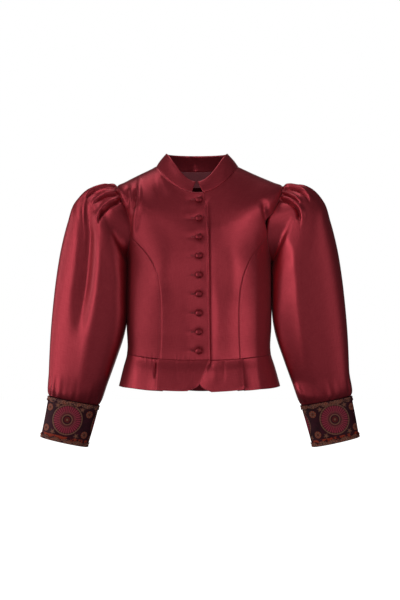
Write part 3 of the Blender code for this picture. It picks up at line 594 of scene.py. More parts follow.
def mesh_from(build, name):
    """A smooth mesh from what was built, which is then freed."""
    mesh = bpy.data.meshes.new(name)
    build.to_mesh(mesh)
    build.free()
    mesh.shade_smooth()
    return mesh


def add_piece(name, mesh, finish_name, replaces=()):
    """A piece of the jacket that rides on it."""
    mesh.materials.append(finish(finish_name))
    made = bpy.data.objects.new(name, mesh)
    bpy.context.scene.collection.objects.link(made)
    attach(made, BODY)
    if replaces:
        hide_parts(*replaces)
    return made


def add_cloth(node, points, wall, slot, tube=False, uv_maps=None):
    """A cloth piece in place of its solid, as a grid of points in rows, thickened by Solidify.
    Its finish is the one that slot names."""
    maps = {"cloth": cloth_uv(points), **(uv_maps or {})}
    made = add_piece(f"{node}_cloth", grid_mesh(node, points, maps, tube), slot, (node,))
    shell = made.modifiers.new("wall", "SOLIDIFY")
    shell.thickness = wall * MM
    shell.offset = 0.0


def side_name(name, side):
    return f"{name}_{'left' if side > 0 else 'right'}"


def front_and_side(side):
    """The names of a grid's edges towards the centre front and towards the side."""
    return ("left", "right") if side > 0 else ("right", "left")


def on_side(grid, side):
    """A grid cut for the wearer's left, turned over for the right, with its face kept outward."""
    if side > 0:
        return grid
    turned = grid[:, ::-1].copy()
    turned[..., 0] *= -1
    return turned


def lap_offset(grid, side):
    """How far a front stands out from the common surface where the two fronts lie on each other."""
    x = np.abs(torso(grid[..., 0], grid[..., 1])[..., 0])
    near = 1 - ease((x - OVERLAP_FULL) / (OVERLAP_REACH - OVERLAP_FULL))
    return np.where(side < 0, OVER_LIFT, -UNDER_SINK) * near


# Materials

def linear(hex_colour):
    """An sRGB hex colour as linear red, green and blue."""
    parts = [int(hex_colour[k:k + 2], 16) / 255 for k in (1, 3, 5)]
    return tuple(c / 12.92 if c <= 0.04045 else ((c + 0.055) / 1.055) ** 2.4 for c in parts)


def opaque(colour, share=1.0):
    """A colour, darker or lighter by a share, with its alpha."""
    return tuple(part * share for part in colour) + (1.0,)


def grey(value):
    return opaque((value, value, value))


def add_node(tree, kind, inputs=None, stops=(), **settings):
    """Adds a node with its settings, a ramp's stops, and inputs from values or other sockets."""
    made = tree.nodes.new("ShaderNode" + kind)
    for name, value in settings.items():
        setattr(made, name, value)
    for name, value in (inputs or {}).items():
        if isinstance(value, bpy.types.NodeSocket):
            tree.links.new(value, made.inputs[name])
        else:
            made.inputs[name].default_value = value
    if stops:
        elements = made.color_ramp.elements
        while len(elements) < len(stops):
            elements.new(0.5)
        for element, (position, colour) in zip(elements, stops):
            element.position = position
            element.color = colour
    return made


def new_material(name, **constants):
    """A named material with its shader's constants set."""
    made = bpy.data.materials.new(name)
    made.use_nodes = True
    shader = made.node_tree.nodes["Principled BSDF"]
    for socket, value in constants.items():
        shader.inputs[socket.replace("_", " ")].default_value = value
    return made, made.node_tree, shader


def feed(shader, **sockets):
    """Links sockets of other nodes into a shader."""
    for name, socket in sockets.items():
        shader.id_data.links.new(socket, shader.inputs[name.replace("_", " ")])


def satin_weave():
    """Heavy duchesse satin, woven with long warp floats and calendered: a broad soft metallic
    sheen that breaks up into fine slubs along both threads. Its threads are 0.12 mm, too fine to
    show, so the slubs are drawn 1.4 mm wide."""
    colours = bpy.context.scene.jacket_colours
    made, tree, shader = new_material(
        "satin_woven", Metallic=0.72, Roughness=0.4, Specular_IOR_Level=0.3,
        Anisotropic=0.4, Sheen_Weight=0.03, Sheen_Roughness=0.4,
    )
    uv = add_node(tree, "UVMap", uv_map="cloth").outputs["UV"]
    slubs = []
    for warp_or_weft in ((700.0, 50.0, 1.0), (50.0, 800.0, 1.0)):
        drawn_out = add_node(tree, "Mapping", {"Vector": uv, "Scale": warp_or_weft}).outputs[0]
        noise = add_node(tree, "TexNoise", {"Vector": drawn_out, "Scale": 1.0, "Detail": 2.0})
        slubs.append(noise.outputs[0])
    threads_and_shaded_spokes = add_node(tree, "Math", {0: slubs[0], 1: slubs[1]}, operation="ADD").outputs[0]
    halved = add_node(tree, "Math", {0: threads_and_shaded_spokes, 1: 0.5}, operation="MULTIPLY").outputs[0]
    shade = add_node(tree, "ValToRGB", {"Fac": halved}, (
        (0.3, opaque(colours.satin_dark)),
        (0.5, opaque(colours.satin)),
        (0.7, opaque(colours.satin_light)),
    ))
    bump = add_node(tree, "Bump", {"Strength": 0.2, "Distance": 0.0002, "Height": threads_and_shaded_spokes})
    tangent = add_node(tree, "Tangent", direction_type="UV_MAP", uv_map="cloth")
    feed(shader, Base_Color=shade.outputs["Color"], Normal=bump.outputs["Normal"],
         Tangent=tangent.outputs[0])
    return made


def plain_facing():
    """Twill-woven cotton facing, washed soft: matt and dusky, with a fine diagonal rib."""
    facing = bpy.context.scene.jacket_colours.facing
    made, tree, shader = new_material("facing_twill", Roughness=0.8, Sheen_Weight=0.1)
    uv = add_node(tree, "UVMap", uv_map="cloth").outputs["UV"]
    rib = add_node(
        tree, "TexWave", {"Vector": uv, "Scale": 600.0, "Distortion": 0.6},
        bands_direction="DIAGONAL",
    ).outputs["Fac"]
    mottled = add_node(tree, "TexNoise", {"Vector": uv, "Scale": 60.0, "Detail": 3.0}).outputs[0]
    both = add_node(tree, "Math", {0: rib, 1: mottled}, operation="MULTIPLY").outputs[0]
    stops = ((0.0, opaque(facing, 0.75)), (0.7, opaque(facing, 1.2)))
    shade = add_node(tree, "ValToRGB", {"Fac": both}, stops)
    bump = add_node(tree, "Bump", {"Strength": 0.3, "Distance": 0.0002, "Height": rib})
    feed(shader, Base_Color=shade.outputs["Color"], Normal=bump.outputs["Normal"])
    return made


def figured_brocade():
    """Aubergine silk ground figured with round medallions and flowers in thick stitched threads:
    dull ground and brighter raised threads. The threads are too fine to show, so they are drawn
    as spokes and rings 1 to 3 mm wide. Their sheen is painted: the spokes take by turns a lit
    and a darker copy of the colours, a painted highlight on one half of each petal and painted
    shade on the other."""
    colours = bpy.context.scene.jacket_colours
    ground, dark = opaque(colours.ground), opaque(colours.ground, 0.45)
    # Plum and the half-strength bronze are also painted shade, on the shaded half of the spokes
    # below
    berry, plum = opaque(colours.medallion), opaque(colours.medallion, 0.38)
    bronze, dim_bronze = opaque(colours.bronze), opaque(colours.bronze, 0.5)
    ember = opaque(colours.accent)
    made, tree, shader = new_material("brocade_figured", Roughness=0.6, Specular_IOR_Level=0.2)

    def polar(map_name):
        uv = add_node(tree, "UVMap", uv_map=map_name).outputs["UV"]
        radius = add_node(tree, "VectorMath", {0: uv}, operation="LENGTH").outputs["Value"]
        angle = add_node(tree, "TexGradient", {"Vector": uv}, gradient_type="RADIAL").outputs["Fac"]
        return radius, angle

    def spokes(angle, count):
        turned = add_node(tree, "Math", {0: angle, 1: count * 2 * math.pi}, operation="MULTIPLY")
        wave = add_node(tree, "Math", {0: turned.outputs[0]}, operation="SINE").outputs[0]
        return add_node(
            tree, "MapRange", {"Value": wave, "From Min": -0.4, "From Max": 0.4}
        ).outputs[0]

    def rings(radius, reach, stops):
        """Rings of colour by their radius in millimetres, out to a reach."""
        scaled = add_node(tree, "Math", {0: radius, 1: 1 / (reach * MM)}, operation="MULTIPLY")
        shares = [(place / reach, colour) for place, colour in stops]
        return add_node(tree, "ValToRGB", {"Fac": scaled.outputs[0]}, shares).outputs["Color"]

    def spoked(angle, count, lit_spokes, threads_and_shaded_spokes):
        """Two colours by turns round a centre: a lit copy and a shaded copy, painted highlight and
        painted shade.
        """
        inputs = {0: spokes(angle, count), 6: lit_spokes, 7: threads_and_shaded_spokes}
        return add_node(tree, "Mix", inputs, data_type="RGBA").outputs[2]

    cloth = add_node(tree, "UVMap", uv_map="cloth").outputs["UV"]
    patches, speckle, broken = (
        add_node(tree, "TexNoise", {"Vector": cloth, "Scale": scale, "Detail": detail}).outputs[0]
        for scale, detail in ((55.0, 2.0), (420.0, 2.0), (130.0, 3.0))
    )
    figure = add_node(
        tree, "ValToRGB", {"Fac": patches}, ((0.35, dark), (0.65, ground))
    ).outputs["Color"]

    # Medallion: boss, ring of beads, inner ring, spokes, outer ring
    radius, angle = polar("medallion")
    medallion = spoked(angle, 34.0, rings(radius, 40.0, (
        (0.0, bronze), (2.2, bronze), (3.0, dark), (4.4, ember), (6.4, plum), (9.0, dark),
        (9.8, bronze), (11.6, bronze), (12.4, plum), (16.5, berry), (29.0, berry), (30.0, dark),
        (30.8, bronze), (32.8, bronze), (33.6, dark), (36.0, ground),
    )), rings(radius, 40.0, (
        (0.0, dim_bronze), (2.2, bronze), (3.0, dark), (4.4, dark), (6.4, dark), (9.0, dark),
        (9.8, dim_bronze), (11.6, bronze), (12.4, dark), (17.0, dim_bronze), (19.0, plum),
        (29.0, plum), (30.0, dark), (30.8, dim_bronze), (32.8, bronze), (33.6, dark),
    )))

    # Flowers between the medallions, and sprigs round them
    flower_radius, flower_angle = polar("flower")
    flower = spoked(flower_angle, 8.0, rings(flower_radius, 12.0, (
        (0.0, ember), (1.8, dark), (2.6, bronze), (7.0, bronze), (8.2, dark),
    )), rings(flower_radius, 12.0, (
        (0.0, ember), (1.8, dark), (2.6, dim_bronze), (7.0, ember), (8.2, dark),
    )))
    sprig_radius, sprig_angle = polar("sprig")
    sprig = rings(sprig_radius, 8.0, ((0.0, ember), (1.4, bronze), (4.5, dim_bronze)))
    lobes = add_node(tree, "Math", {0: spokes(sprig_angle, 5.0), 1: 3.0 * MM}, operation="MULTIPLY")
    lobed = add_node(tree, "Math", {0: sprig_radius, 1: lobes.outputs[0]}, operation="ADD")

    # Each lies on the ground out to its edge, from where it ends to where the ground is clear
    for distance, end, clear, colour in (
        (radius, 33.4, 34.2, medallion),
        (flower_radius, 8.6, 9.3, flower),
        (lobed.outputs[0], 5.8, 6.6, sprig),
    ):
        past = add_node(
            tree, "MapRange", {"Value": distance, "From Min": end * MM, "From Max": clear * MM}
        ).outputs[0]
        figure = add_node(
            tree, "Mix", {0: past, 6: colour, 7: figure}, data_type="RGBA"
        ).outputs[2]

    # Ember patches by the lower edge
    border = add_node(tree, "UVMap", uv_map="border").outputs["UV"]
    height = add_node(tree, "SeparateXYZ", {0: border}).outputs["Y"]
    low = add_node(
        tree, "MapRange", {"Value": height, "From Min": 15.5 * MM, "From Max": 13.5 * MM}
    ).outputs[0]
    patchy = add_node(
        tree, "MapRange", {"Value": broken, "From Min": 0.47, "From Max": 0.54}
    ).outputs[0]
    both = add_node(tree, "Math", {0: low, 1: patchy}, operation="MULTIPLY").outputs[0]
    figure = add_node(tree, "Mix", {0: both, 6: figure, 7: ember}, data_type="RGBA").outputs[2]

    wear_and_painted_shade = add_node(tree, "MapRange", {"Value": speckle, "To Min": 0.62, "To Max": 1.3}).outputs[0]
    final = add_node(
        tree, "Mix", {0: 1.0, 6: figure, 7: wear_and_painted_shade}, data_type="RGBA", blend_type="MULTIPLY"
    )
    brightness = add_node(tree, "RGBToBW", {0: figure}).outputs[0]
    raised = add_node(tree, "Math", {0: brightness, 1: speckle}, operation="MULTIPLY").outputs[0]
    bump = add_node(tree, "Bump", {"Strength": 0.6, "Distance": 0.0012, "Height": raised})
    feed(shader, Base_Color=final.outputs[2], Normal=bump.outputs["Normal"])
    return made


def bronze_gimp():
    """Gimp braid of viscose over cotton, twisted with a metal thread: dull bronze with reddish
    places where the core shows, with painted shade in the grooves between its twisted cords and
    a painted highlight on their crests."""
    colours = bpy.context.scene.jacket_colours
    reddish = [(part + other) / 2 for part, other in zip(colours.bronze, colours.accent)]
    made, tree, shader = new_material("gimp_braid", Roughness=0.55, Specular_IOR_Level=0.3)
    uv = add_node(tree, "UVMap", uv_map="cloth").outputs["UV"]
    cords = add_node(
        tree, "TexWave", {"Vector": uv, "Scale": 110.0, "Distortion": 2.5, "Detail": 2.0},
        bands_direction="DIAGONAL",
    ).outputs["Fac"]
    patches = add_node(tree, "TexNoise", {"Vector": uv, "Scale": 90.0, "Detail": 2.0}).outputs[0]
    mottle = add_node(tree, "ValToRGB", {"Fac": patches}, (
        (0.38, opaque(colours.ground)), (0.5, opaque(colours.bronze)), (0.66, opaque(reddish)),
    )).outputs["Color"]
    # Painted shade in the grooves between the twisted cords and painted highlight on their crests,
    # on the bands that also make the bump
    wear_and_painted_shade = add_node(tree, "MapRange", {"Value": cords, "To Min": 0.5, "To Max": 1.2}).outputs[0]
    final = add_node(
        tree, "Mix", {0: 1.0, 6: mottle, 7: wear_and_painted_shade}, data_type="RGBA", blend_type="MULTIPLY"
    )
    bump = add_node(tree, "Bump", {"Strength": 0.7, "Distance": 0.0008, "Height": cords})
    feed(shader, Base_Color=final.outputs[2], Normal=bump.outputs["Normal"])
    return made


def sewing_thread():
    """Twisted silk sewing thread, a shade lighter than the satin, with a low gloss."""
    thread = bpy.context.scene.jacket_colours.thread
    made, tree, shader = new_material("thread_silk", Roughness=0.5, Metallic=0.2)
    place = add_node(tree, "TexCoord").outputs["Object"]
    twist = add_node(tree, "TexNoise", {"Vector": place, "Scale": 1500.0, "Detail": 1.0})
    stops = ((0.35, opaque(thread, 0.7)), (0.65, opaque(thread)))
    shade = add_node(tree, "ValToRGB", {"Fac": twist.outputs[0]}, stops)
    feed(shader, Base_Color=shade.outputs["Color"])
    return made


def paper_white():
    """Matt white paper for the floor, lit so evenly that it merges with the white room."""
    return new_material(
        "paper_white", Base_Color=grey(0.9), Roughness=0.9,
        Emission_Color=grey(1.0), Emission_Strength=1.2,
    )[0]


FINISHES = {
    "satin": satin_weave,
    "facing": plain_facing,
    "brocade": figured_brocade,
    "gimp": bronze_gimp,
    "thread": sewing_thread,
}
_made_finishes = {}


def finish(name):
    """The finish of that name, made once."""
    if name not in _made_finishes:
        _made_finishes[name] = FINISHES[name]()
    return _made_finishes[name]


# Bodice

def front_edge(side, count):
    station = np.linspace(WAIST, NECK - CORNER, count + 1)
    if side < 0:
        x = -smooth_row(FRONT_EDGE, station)[:, 0]
    else:
        x = np.full_like(station, UNDER_EDGE)
    return np.stack([around_at(x, station), station], axis=-1)


def front_grid(side):
    """A front from the lap to the princess seam and the armhole, up to the shoulder."""
    princess = princess_seam()
    upper = armhole(np.linspace(-PRINCESS_TURN, 0.0, ARMHOLE_ROWS + 1))
    right = np.vstack([princess, upper[1:]])
    edge_x = -FRONT_EDGE[-1].x if side < 0 else UNDER_EDGE
    arc = np.radians(np.linspace(0, 90, CORNER_ROWS + 1)[1:])
    corner_station = NECK - CORNER * (1 - np.sin(arc))
    corner = np.stack(
        [around_at(edge_x + CORNER * (1 - np.cos(arc)), corner_station), corner_station], axis=-1
    )
    neck = between(corner[-1], (90.0, NECK), NECK_ROWS + 1)[1:]
    edge = front_edge(side, len(right) - len(neck) - len(corner) - 1)
    left = np.vstack([edge, corner, neck])
    bottom = between(left[0], right[0], SHOULDER_ROWS)
    return patch(left, right, bottom, shoulder_seam()[::-1])


def puckers(points, station):
    """Little gathers where the peplum is sewn to the waist."""
    x = as_seen(points)[..., 0]
    strength = sum(
        share * ease((x - low + PUCKERS_PAST) / PUCKERS_FADE)
        * ease((high + PUCKERS_PAST - x) / PUCKERS_FADE)
        for low, high, share in PUCKERS
    )
    uneven = np.sin(x * 2 * np.pi / PUCKER_PITCH) * np.sin(x * 0.23 + 0.7)
    return PUCKER_DEPTH * strength * uneven * np.exp(-np.abs(station) / PUCKER_REACH)


def button_dimples(points):
    """How far the sewn buttons draw the fronts in, with the small drags beside them."""
    depth = np.zeros(points.shape[:-1])
    across = points[..., 0] - BUTTON_X
    for number in range(BUTTONS):
        up = points[..., 2] - button_level(number)
        for drag in BUTTON_DRAGS:
            away = ((across - drag.x) / drag.width) ** 2 + ((up - drag.z) / drag.height) ** 2
            depth += drag.depth * np.exp(-away)
    return depth


def lap_stand(from_lap):
    """How far the over front stands off the one under it, by the distance from its edge."""
    return LAP_STAND * np.exp(-from_lap / LAP_STAND_REACH)


def shade_trough(x, over_edge):
    """Depth of the under front's trough beside the edge of the lap that lies on it."""
    return TROUGH_DEPTH * np.exp(-((x - over_edge - TROUGH_ASIDE) / TROUGH_WIDTH) ** 2)


def front_points(side):
    """A front, and the normals of the surface under it."""
    grid = on_side(front_grid(side), side)
    around, station = grid[..., 0], grid[..., 1]
    normals = torso_normal(around, station)
    points = torso(around, station) + normals * lap_offset(grid, side)[..., None]
    lap, seam = front_and_side(side)
    from_lap = edge_runs(points, (lap,))[lap]
    points = inset(points, ("bottom", seam, "top"))
    points = creased(points, normals, CHEST_CREASES)
    points = points + normals * (puckers(points, station) - button_dimples(points))[..., None]
    if side < 0:
        lift = lap_stand(from_lap) * ease((NECK - station) / LAP_STAND_NECK_FADE)
    else:
        lift = -shade_trough(points[..., 0], smooth_row(FRONT_EDGE, station)[..., 0])
        lift *= ease((NECK - TROUGH_BELOW_NECK - station) / TROUGH_NECK_FADE)
    points = points + normals * lift[..., None]
    return rolled(points, normals, ("bottom", seam)), normals


def side_front_points(side):
    """A side front, and the normals of the surface under it."""
    princess, seam = princess_seam(), side_seam()
    top = armhole(-np.linspace(PRINCESS_TURN, 180.0, UNDERARM_COLUMNS + 1))
    bottom = between(princess[0], seam[0], UNDERARM_COLUMNS)
    grid = on_side(patch(princess, seam, bottom, top), side)
    around, station = grid[..., 0], grid[..., 1]
    normals = torso_normal(around, station)
    points = inset(torso(around, station), ("bottom", "left", "right"))
    points = creased(points, normals, CHEST_CREASES)
    points = points + normals * puckers(points, station)[..., None]
    return rolled(points, normals, ("bottom", "left", "right")), normals


def back_grid():
    back_arm = armhole(np.arange(180.0, -0.1, -ARMHOLE_STEP))
    left = np.vstack([side_seam(), back_arm[1:], shoulder_seam()[1:]])
    right = left * (-1, 1) + (360.0, 0.0)
    bottom, top = (between(left[k], right[k], BACK_COLUMNS) for k in (0, -1))
    return patch(left, right, bottom, top)


def add_bodice(sizes):
    for side in SIDES:
        points, _ = front_points(side)
        add_cloth(side_name("front", side), points, sizes.bodice_wall, "satin")
        points, _ = side_front_points(side)
        add_cloth(side_name("side_front", side), points, sizes.bodice_wall, "satin")

    grid = back_grid()
    plain = torso(grid[..., 0], grid[..., 1])
    normals = torso_normal(grid[..., 0], grid[..., 1])
    points = inset(plain, ("bottom",))
    drawn = inset(points, ("left", "right"))
    rows = len(grid)
    sewn = list(range(BODICE_ROWS + 1)) + list(range(rows - SHOULDER_ROWS - 1, rows))
    points[sewn] = drawn[sewn]
    points = creased(points, normals, back=BACK_CREASES)
    add_cloth("back", points, sizes.bodice_wall, "satin")

    # The facing lies inside the back, halfway down the shoulders and clear of their seams
    clear = BACK_COLUMNS // 6
    inward = (sizes.bodice_wall + sizes.facing_wall) / 2 + FACING_GAP
    facing = (plain - normals * inward)[-(SHOULDER_ROWS // 2):, clear:-clear]
    facing[-1] += (facing[-2] - facing[-1]) * 0.5
    add_cloth("back_neck_facing", facing, sizes.facing_wall, "facing")


# Peplum

def pleat_path(share):
    """Across a peplum front by rows: its distances from the middle, and its depth at each."""
    turn_points, back_columns, under_columns, fade_columns = 7, 4, 10, 28
    hidden = PLEAT_SEAM[0] + (PLEAT_SEAM[1] - PLEAT_SEAM[0]) * share
    step = PLEAT_STEP[0] + (PLEAT_STEP[1] - PLEAT_STEP[0]) * share
    turn = step / 2
    outer, inner, flat_end = PLEAT_EDGE - turn, hidden + turn, PLEAT_EDGE + PLEAT_UNDER_REACH
    places = []
    for angle in np.radians(np.linspace(90, -90, turn_points)):
        places.append((outer + turn * math.cos(angle), -turn + turn * math.sin(angle)))
    for k in range(1, back_columns):
        places.append((outer + (inner - outer) * k / back_columns, -step))
    for angle in np.radians(np.linspace(90, 270, turn_points)):
        places.append((inner + turn * math.cos(angle), -1.5 * step + turn * math.sin(angle)))
    for k in range(1, under_columns):
        places.append((inner + (flat_end - inner) * k / under_columns, -2 * step))
    for k in range(fade_columns + 1):
        past = (PLEAT_EDGE + PLEAT_FADE - flat_end) * k / fade_columns
        places.append((flat_end + past, -2 * step * (1 - ease(k / fade_columns))))
    return places


PEPLUM_STATIONS = np.linspace(HEM, WAIST, 41)


def peplum_front_points(side):
    """A peplum front with its knife pleat, and the normals of the surface under it."""
    lap_columns, side_columns = 44, 16
    stations = PEPLUM_STATIONS
    share = stations / HEM
    cut = smooth_row(CUTAWAY, stations)
    edge_x = -cut[:, 0] if side < 0 else cut[:, 1]
    places = pleat_path(share)
    to_pleat = places[0][0] - edge_x
    columns = [(edge_x + to_pleat * k / lap_columns, 0.0) for k in range(lap_columns)] + places
    x = np.stack([place + 0.0 * share for place, _ in columns], axis=-1)
    depth = np.stack([down + 0.0 * share for _, down in columns], axis=-1)
    around = around_at(x, stations[:, None] + 0.0 * x)
    last = around[:, -1:]
    spread = np.linspace(0, 1, side_columns + 1)[1:]
    around = np.hstack([around, last + (90.0 - last) * spread])
    depth = np.hstack([depth, np.zeros((len(stations), side_columns))])
    if side < 0:
        depth = depth[:, ::-1]
    grid = on_side(np.stack([around, stations[:, None] + 0.0 * around], axis=-1), side)
    around, station = grid[..., 0], grid[..., 1]
    normals = torso_normal(around, station)
    points = torso(around, station) + normals * (lap_offset(grid, side) + depth)[..., None]
    lap, seam = front_and_side(side)
    from_lap = edge_runs(points, (lap,))[lap]
    points = creased(inset(points, (seam,)), normals, CHEST_CREASES)
    fold = crease_height(as_seen(points), PLEAT_RIDGES) * station / HEM
    fold += crease_height(as_seen(points), PRESSED_LINES) * ease(-station / PRESSED_FADE)
    fold += puckers(points, station)
    if side < 0:
        fold += lap_stand(from_lap)
    else:
        shown = ease(1 + station / TROUGH_PEPLUM_FADE)
        fold -= shade_trough(points[..., 0], cut[:, :1]) * shown
    return rolled(points + normals * fold[..., None], normals, ("top", seam)), normals


def peplum_back_points():
    """The peplum's back with its flutes, and the normals of the surface under it."""
    around, station = np.meshgrid(np.linspace(90.0, 270.0, 120), PEPLUM_STATIONS)
    normals = torso_normal(around, station)
    points = inset(torso(around, station), ("left", "right"))
    flutes = FLUTE_DEPTH * np.cos(np.radians(around * FLUTES_ROUND + FLUTE_START))
    flutes *= ease(-station / FLUTE_FADE) * np.sin(np.radians(around - 90))
    points = creased(points, normals, back=BACK_CREASES) + normals * flutes[..., None]
    return rolled(points, normals, ("top", "left", "right")), normals


def add_peplum(sizes):
    for side in SIDES:
        points, _ = peplum_front_points(side)
        add_cloth(side_name("peplum_front", side), points, sizes.peplum_wall, "satin")
    add_cloth("peplum_back", peplum_back_points()[0], sizes.peplum_wall, "satin")


# Collar

def collar_foot(around):
    """The band's lower edge, just inside the neck's edge."""
    level = np.full_like(around, NECK)
    foot = torso(around, level)
    away = unit(foot - torso(around, level - 1.0))
    return foot + away * COLLAR_AWAY + torso_normal(around, level) * COLLAR_OUT


def collar_edge(around):
    """The band's upper edge."""
    angle = np.radians(around)
    sine, cosine = np.sin(angle), np.cos(angle)
    front = cosine >= 0
    depth = np.where(front, COLLAR_TOP.front_y, COLLAR_TOP.back_y)
    end_z = np.where(front, COLLAR_TOP.front_z, COLLAR_TOP.back_z)
    return np.stack(
        [
            COLLAR_SHIFT + COLLAR_TOP.half_width * sine,
            -depth * cosine,
            COLLAR_TOP.side_z + (end_z - COLLAR_TOP.side_z) * abs(cosine) ** COLLAR_TOP.droop,
        ],
        axis=-1,
    )


def add_collar(sizes):
    share = np.linspace(0, 1, COLLAR_ROWS + 1)[:, None]
    front = neck_seam(2 * NECK_ROWS)[:, 0]
    foot_around = np.concatenate(
        [front[:-1], np.linspace(90.0, 270.0, BACK_COLUMNS + 1), 360.0 - front[::-1][1:]]
    )
    spread = (180.0 - COLLAR_ENDS[1]) / (180.0 - COLLAR_ENDS[0])
    edge_around = 180.0 + (foot_around - 180.0) * spread
    foot = collar_foot(foot_around)[None, :]
    edge = collar_edge(edge_around)[None, :]
    points = foot + (edge - foot) * share[..., None]
    outward = unit(points * (1, 1, 0) - (COLLAR_SHIFT, 0, 0))
    points = points + outward * (COLLAR_BOW * np.sin(np.pi * share))[..., None]
    points = points + outward * crease_height(as_seen(points), COLLAR_CREASES)[..., None]
    add_cloth("collar", points, sizes.collar_wall, "satin")


# Sleeves

def sleeve_seam(turn):
    """The sleeve's first ring on the left, just clear of the armhole's edge."""
    nodes = np.arange(-180.0, 180.1, 3.0)
    ring = armhole(nodes)
    place = torso(ring[:, 0], ring[:, 1])
    normal = torso_normal(ring[:, 0], ring[:, 1])
    centre = place.mean(axis=0)
    run = unit(np.gradient(np.vstack([place[-2], place, place[1]]), axis=0)[1:-1])
    away = np.cross(run, normal)
    away *= np.sign(((centre - place) * away).sum(-1, keepdims=True))
    lower = ease((abs(nodes[:, None]) - SHOULDER_TURN) / (180.0 - SHOULDER_TURN))
    out = SHOULDER_OUT + (UNDERARM_OUT - SHOULDER_OUT) * lower
    clear = place + away * ARMHOLE_AWAY + normal * out
    clear[0] = clear[-1] = (clear[0] + clear[-1]) / 2
    wrapped = (turn + 180.0) % 360.0 - 180.0
    seam = np.stack([np.interp(wrapped, nodes, clear[:, axis]) for axis in range(3)], axis=-1)
    inward = np.stack([np.interp(wrapped, nodes, -normal[:, axis]) for axis in range(3)], axis=-1)
    return seam, unit(inward)


def sleeve_base(turn, station, side):
    """The left sleeve without its pleats: points by turn from its outer line, and station."""
    turned = np.radians(turn)
    seam, _ = sleeve_seam(turn)
    rings = [seam]
    for row in SLEEVE_SECTIONS:
        along = (1 + np.cos(turned)) / 2
        x = row.inner_x + (row.outer_x - row.inner_x) * along
        z = row.inner_z + (row.outer_z - row.inner_z) * along
        y = np.where(np.sin(turned) < 0, row.front_y, row.back_y) * np.sin(turned)
        rings.append(np.stack([x, y, z], axis=-1))
    knots = [0.0] + [row.station for row in SLEEVE_SECTIONS]
    table = np.column_stack([knots, np.array(rings).reshape(len(rings), -1)])
    points = smooth_row(table, station).reshape(len(station), -1, 3)

    # The front's ridge, flat on one side and slanting on the other, fades out at both ends
    outer, round_front = np.cos(turned), np.sqrt(np.maximum(1 - np.cos(turned) ** 2, 1e-4))
    over_cuff = 1 - ease((station - ABOVE_CUFF) / DRAWN_IN)
    length = (ease((station - RIDGE_START) / RIDGE_FULL) * over_cuff)[:, None]
    late = (ease((station - TURN_START) / TURN_FULL) * over_cuff)[:, None]
    ridge = SLEEVE_RIDGE * length
    away = np.where(outer > ridge, (outer - ridge) / (1 - ridge), (ridge - outer) / (1 + ridge))
    flat = ease(0.5 + side * (outer - ridge) / RIDGE_BLEND)
    slant, turn_under = SLEEVE_SLANT[side > 0], SLEEVE_TURN[side > 0]
    square = 2.0 + SLEEVE_FLATNESS * flat * length + turn_under * (1 - flat) * late
    slanting = np.hypot(away, RIDGE_BLUNTNESS) - RIDGE_BLUNTNESS
    leaning = 1 - slant * (1 - flat) * length * slanting
    bulge = leaning * (1 - away ** square + 1e-4) ** (1 / square) / round_front
    points[..., 1] *= np.where(np.sin(turned) < 0, bulge, 1.0)
    if side > 0:
        drawn_in = (ease(station / IN_FULL) * over_cuff)[:, None]
        points[..., 0] -= LEFT_SLEEVE_IN * drawn_in * (1 + outer) / 2
    return points


def sleeve_folds(turn, station, side, depth):
    """Height of the pleats and gathers above the plain sleeve."""
    strength = station / PLEAT_RISE * np.exp(1 - station / PLEAT_RISE)
    strength += PLEAT_TAIL * ease(station / PLEAT_START) * ease(1 - station / PLEAT_LENGTH)
    strength, down = strength[:, None], station[:, None]
    height = np.zeros((len(station), len(turn)))
    wrapped = ((turn + 180.0) % 360.0 - 180.0)[None, :]
    for centre, rise, half_width in (LEFT_PLEATS if side > 0 else RIGHT_PLEATS):
        fanned = centre * (1 + down / PLEAT_FAN)
        away = (wrapped - fanned) / (half_width * (1 + down / PLEAT_WIDENING))
        shown = PLEAT_SHARE if centre > LINED_TUCKS_END else LINED_SHARE
        height += rise * shown * ease(1 - abs(away) * PLEAT_FULLNESS) * strength
    near_cuff = ease((station - ABOVE_CUFF) / GATHERS_LENGTH)
    near_cuff *= 1 - ease((station - CUFF_SEAM) / CUFF_SEAM_LENGTH)
    angle = np.radians(turn[None, :])
    waves = 0.6 * np.cos(angle * GATHERS_ROUND[0] + side)
    waves += 0.5 * np.cos(angle * GATHERS_ROUND[1] + 2 * np.sin(angle * 3))
    return height + depth * waves * near_cuff[:, None]


def sleeve_points(turn, station, side, gather_depth):
    """A sleeve with its tucks, creases and gathers, from its turned-in seam to the cuff."""
    base = sleeve_base(turn, station, side)
    wide = sleeve_base(turn + 1.0, station, side) - sleeve_base(turn - 1.0, station, side)
    long = sleeve_base(turn, station + 1.0, side) - sleeve_base(turn, station - 1.0, side)
    normals = unit(np.cross(wide, -long))
    points = base + normals * sleeve_folds(turn, station, side, gather_depth)[..., None]
    points, normals = points * (side, 1, 1), normals * (side, 1, 1)
    own, other = LEFT_SLEEVE_CREASES, RIGHT_SLEEVE_CREASES
    if side < 0:
        own, other = other, own
    free = ease(station / CREASES_START) * (1 - ease((station - CREASES_END) / CREASES_LAST))
    free = np.maximum(free, SEAM_CREASES * (station < SEAM_CREASES_END))[:, None, None]
    folded = points + (creased(points, normals, own, other) - points) * free
    _, inward = sleeve_seam(turn)
    first = folded[0] + inward * (side, 1, 1) * SEAM_TURNED_IN
    return np.concatenate([first[None], folded])


# Columns and rows of a sleeve's grid, closest over its tucks and its gathers
SLEEVE_TURNS = np.concatenate(
    [np.arange(-92, 0, 1.0), np.arange(0, 92, 1.5), np.arange(92, 268.1, 4.0)]
)
SLEEVE_STATIONS = np.concatenate([
    np.arange(0, 84, 1.4), np.arange(84, 150, 2.5), np.arange(150, 470, 5.0),
    np.arange(470, 541.1, 2.0),
])


def add_sleeves(sizes):
    for side in SIDES:
        points = sleeve_points(SLEEVE_TURNS, SLEEVE_STATIONS, side, sizes.gather_depth)
        if side > 0:
            points = points[:, ::-1]
        add_cloth(side_name("sleeve", side), points[::-1], sizes.sleeve_wall, "satin",
                  tube=True)


# Cuffs

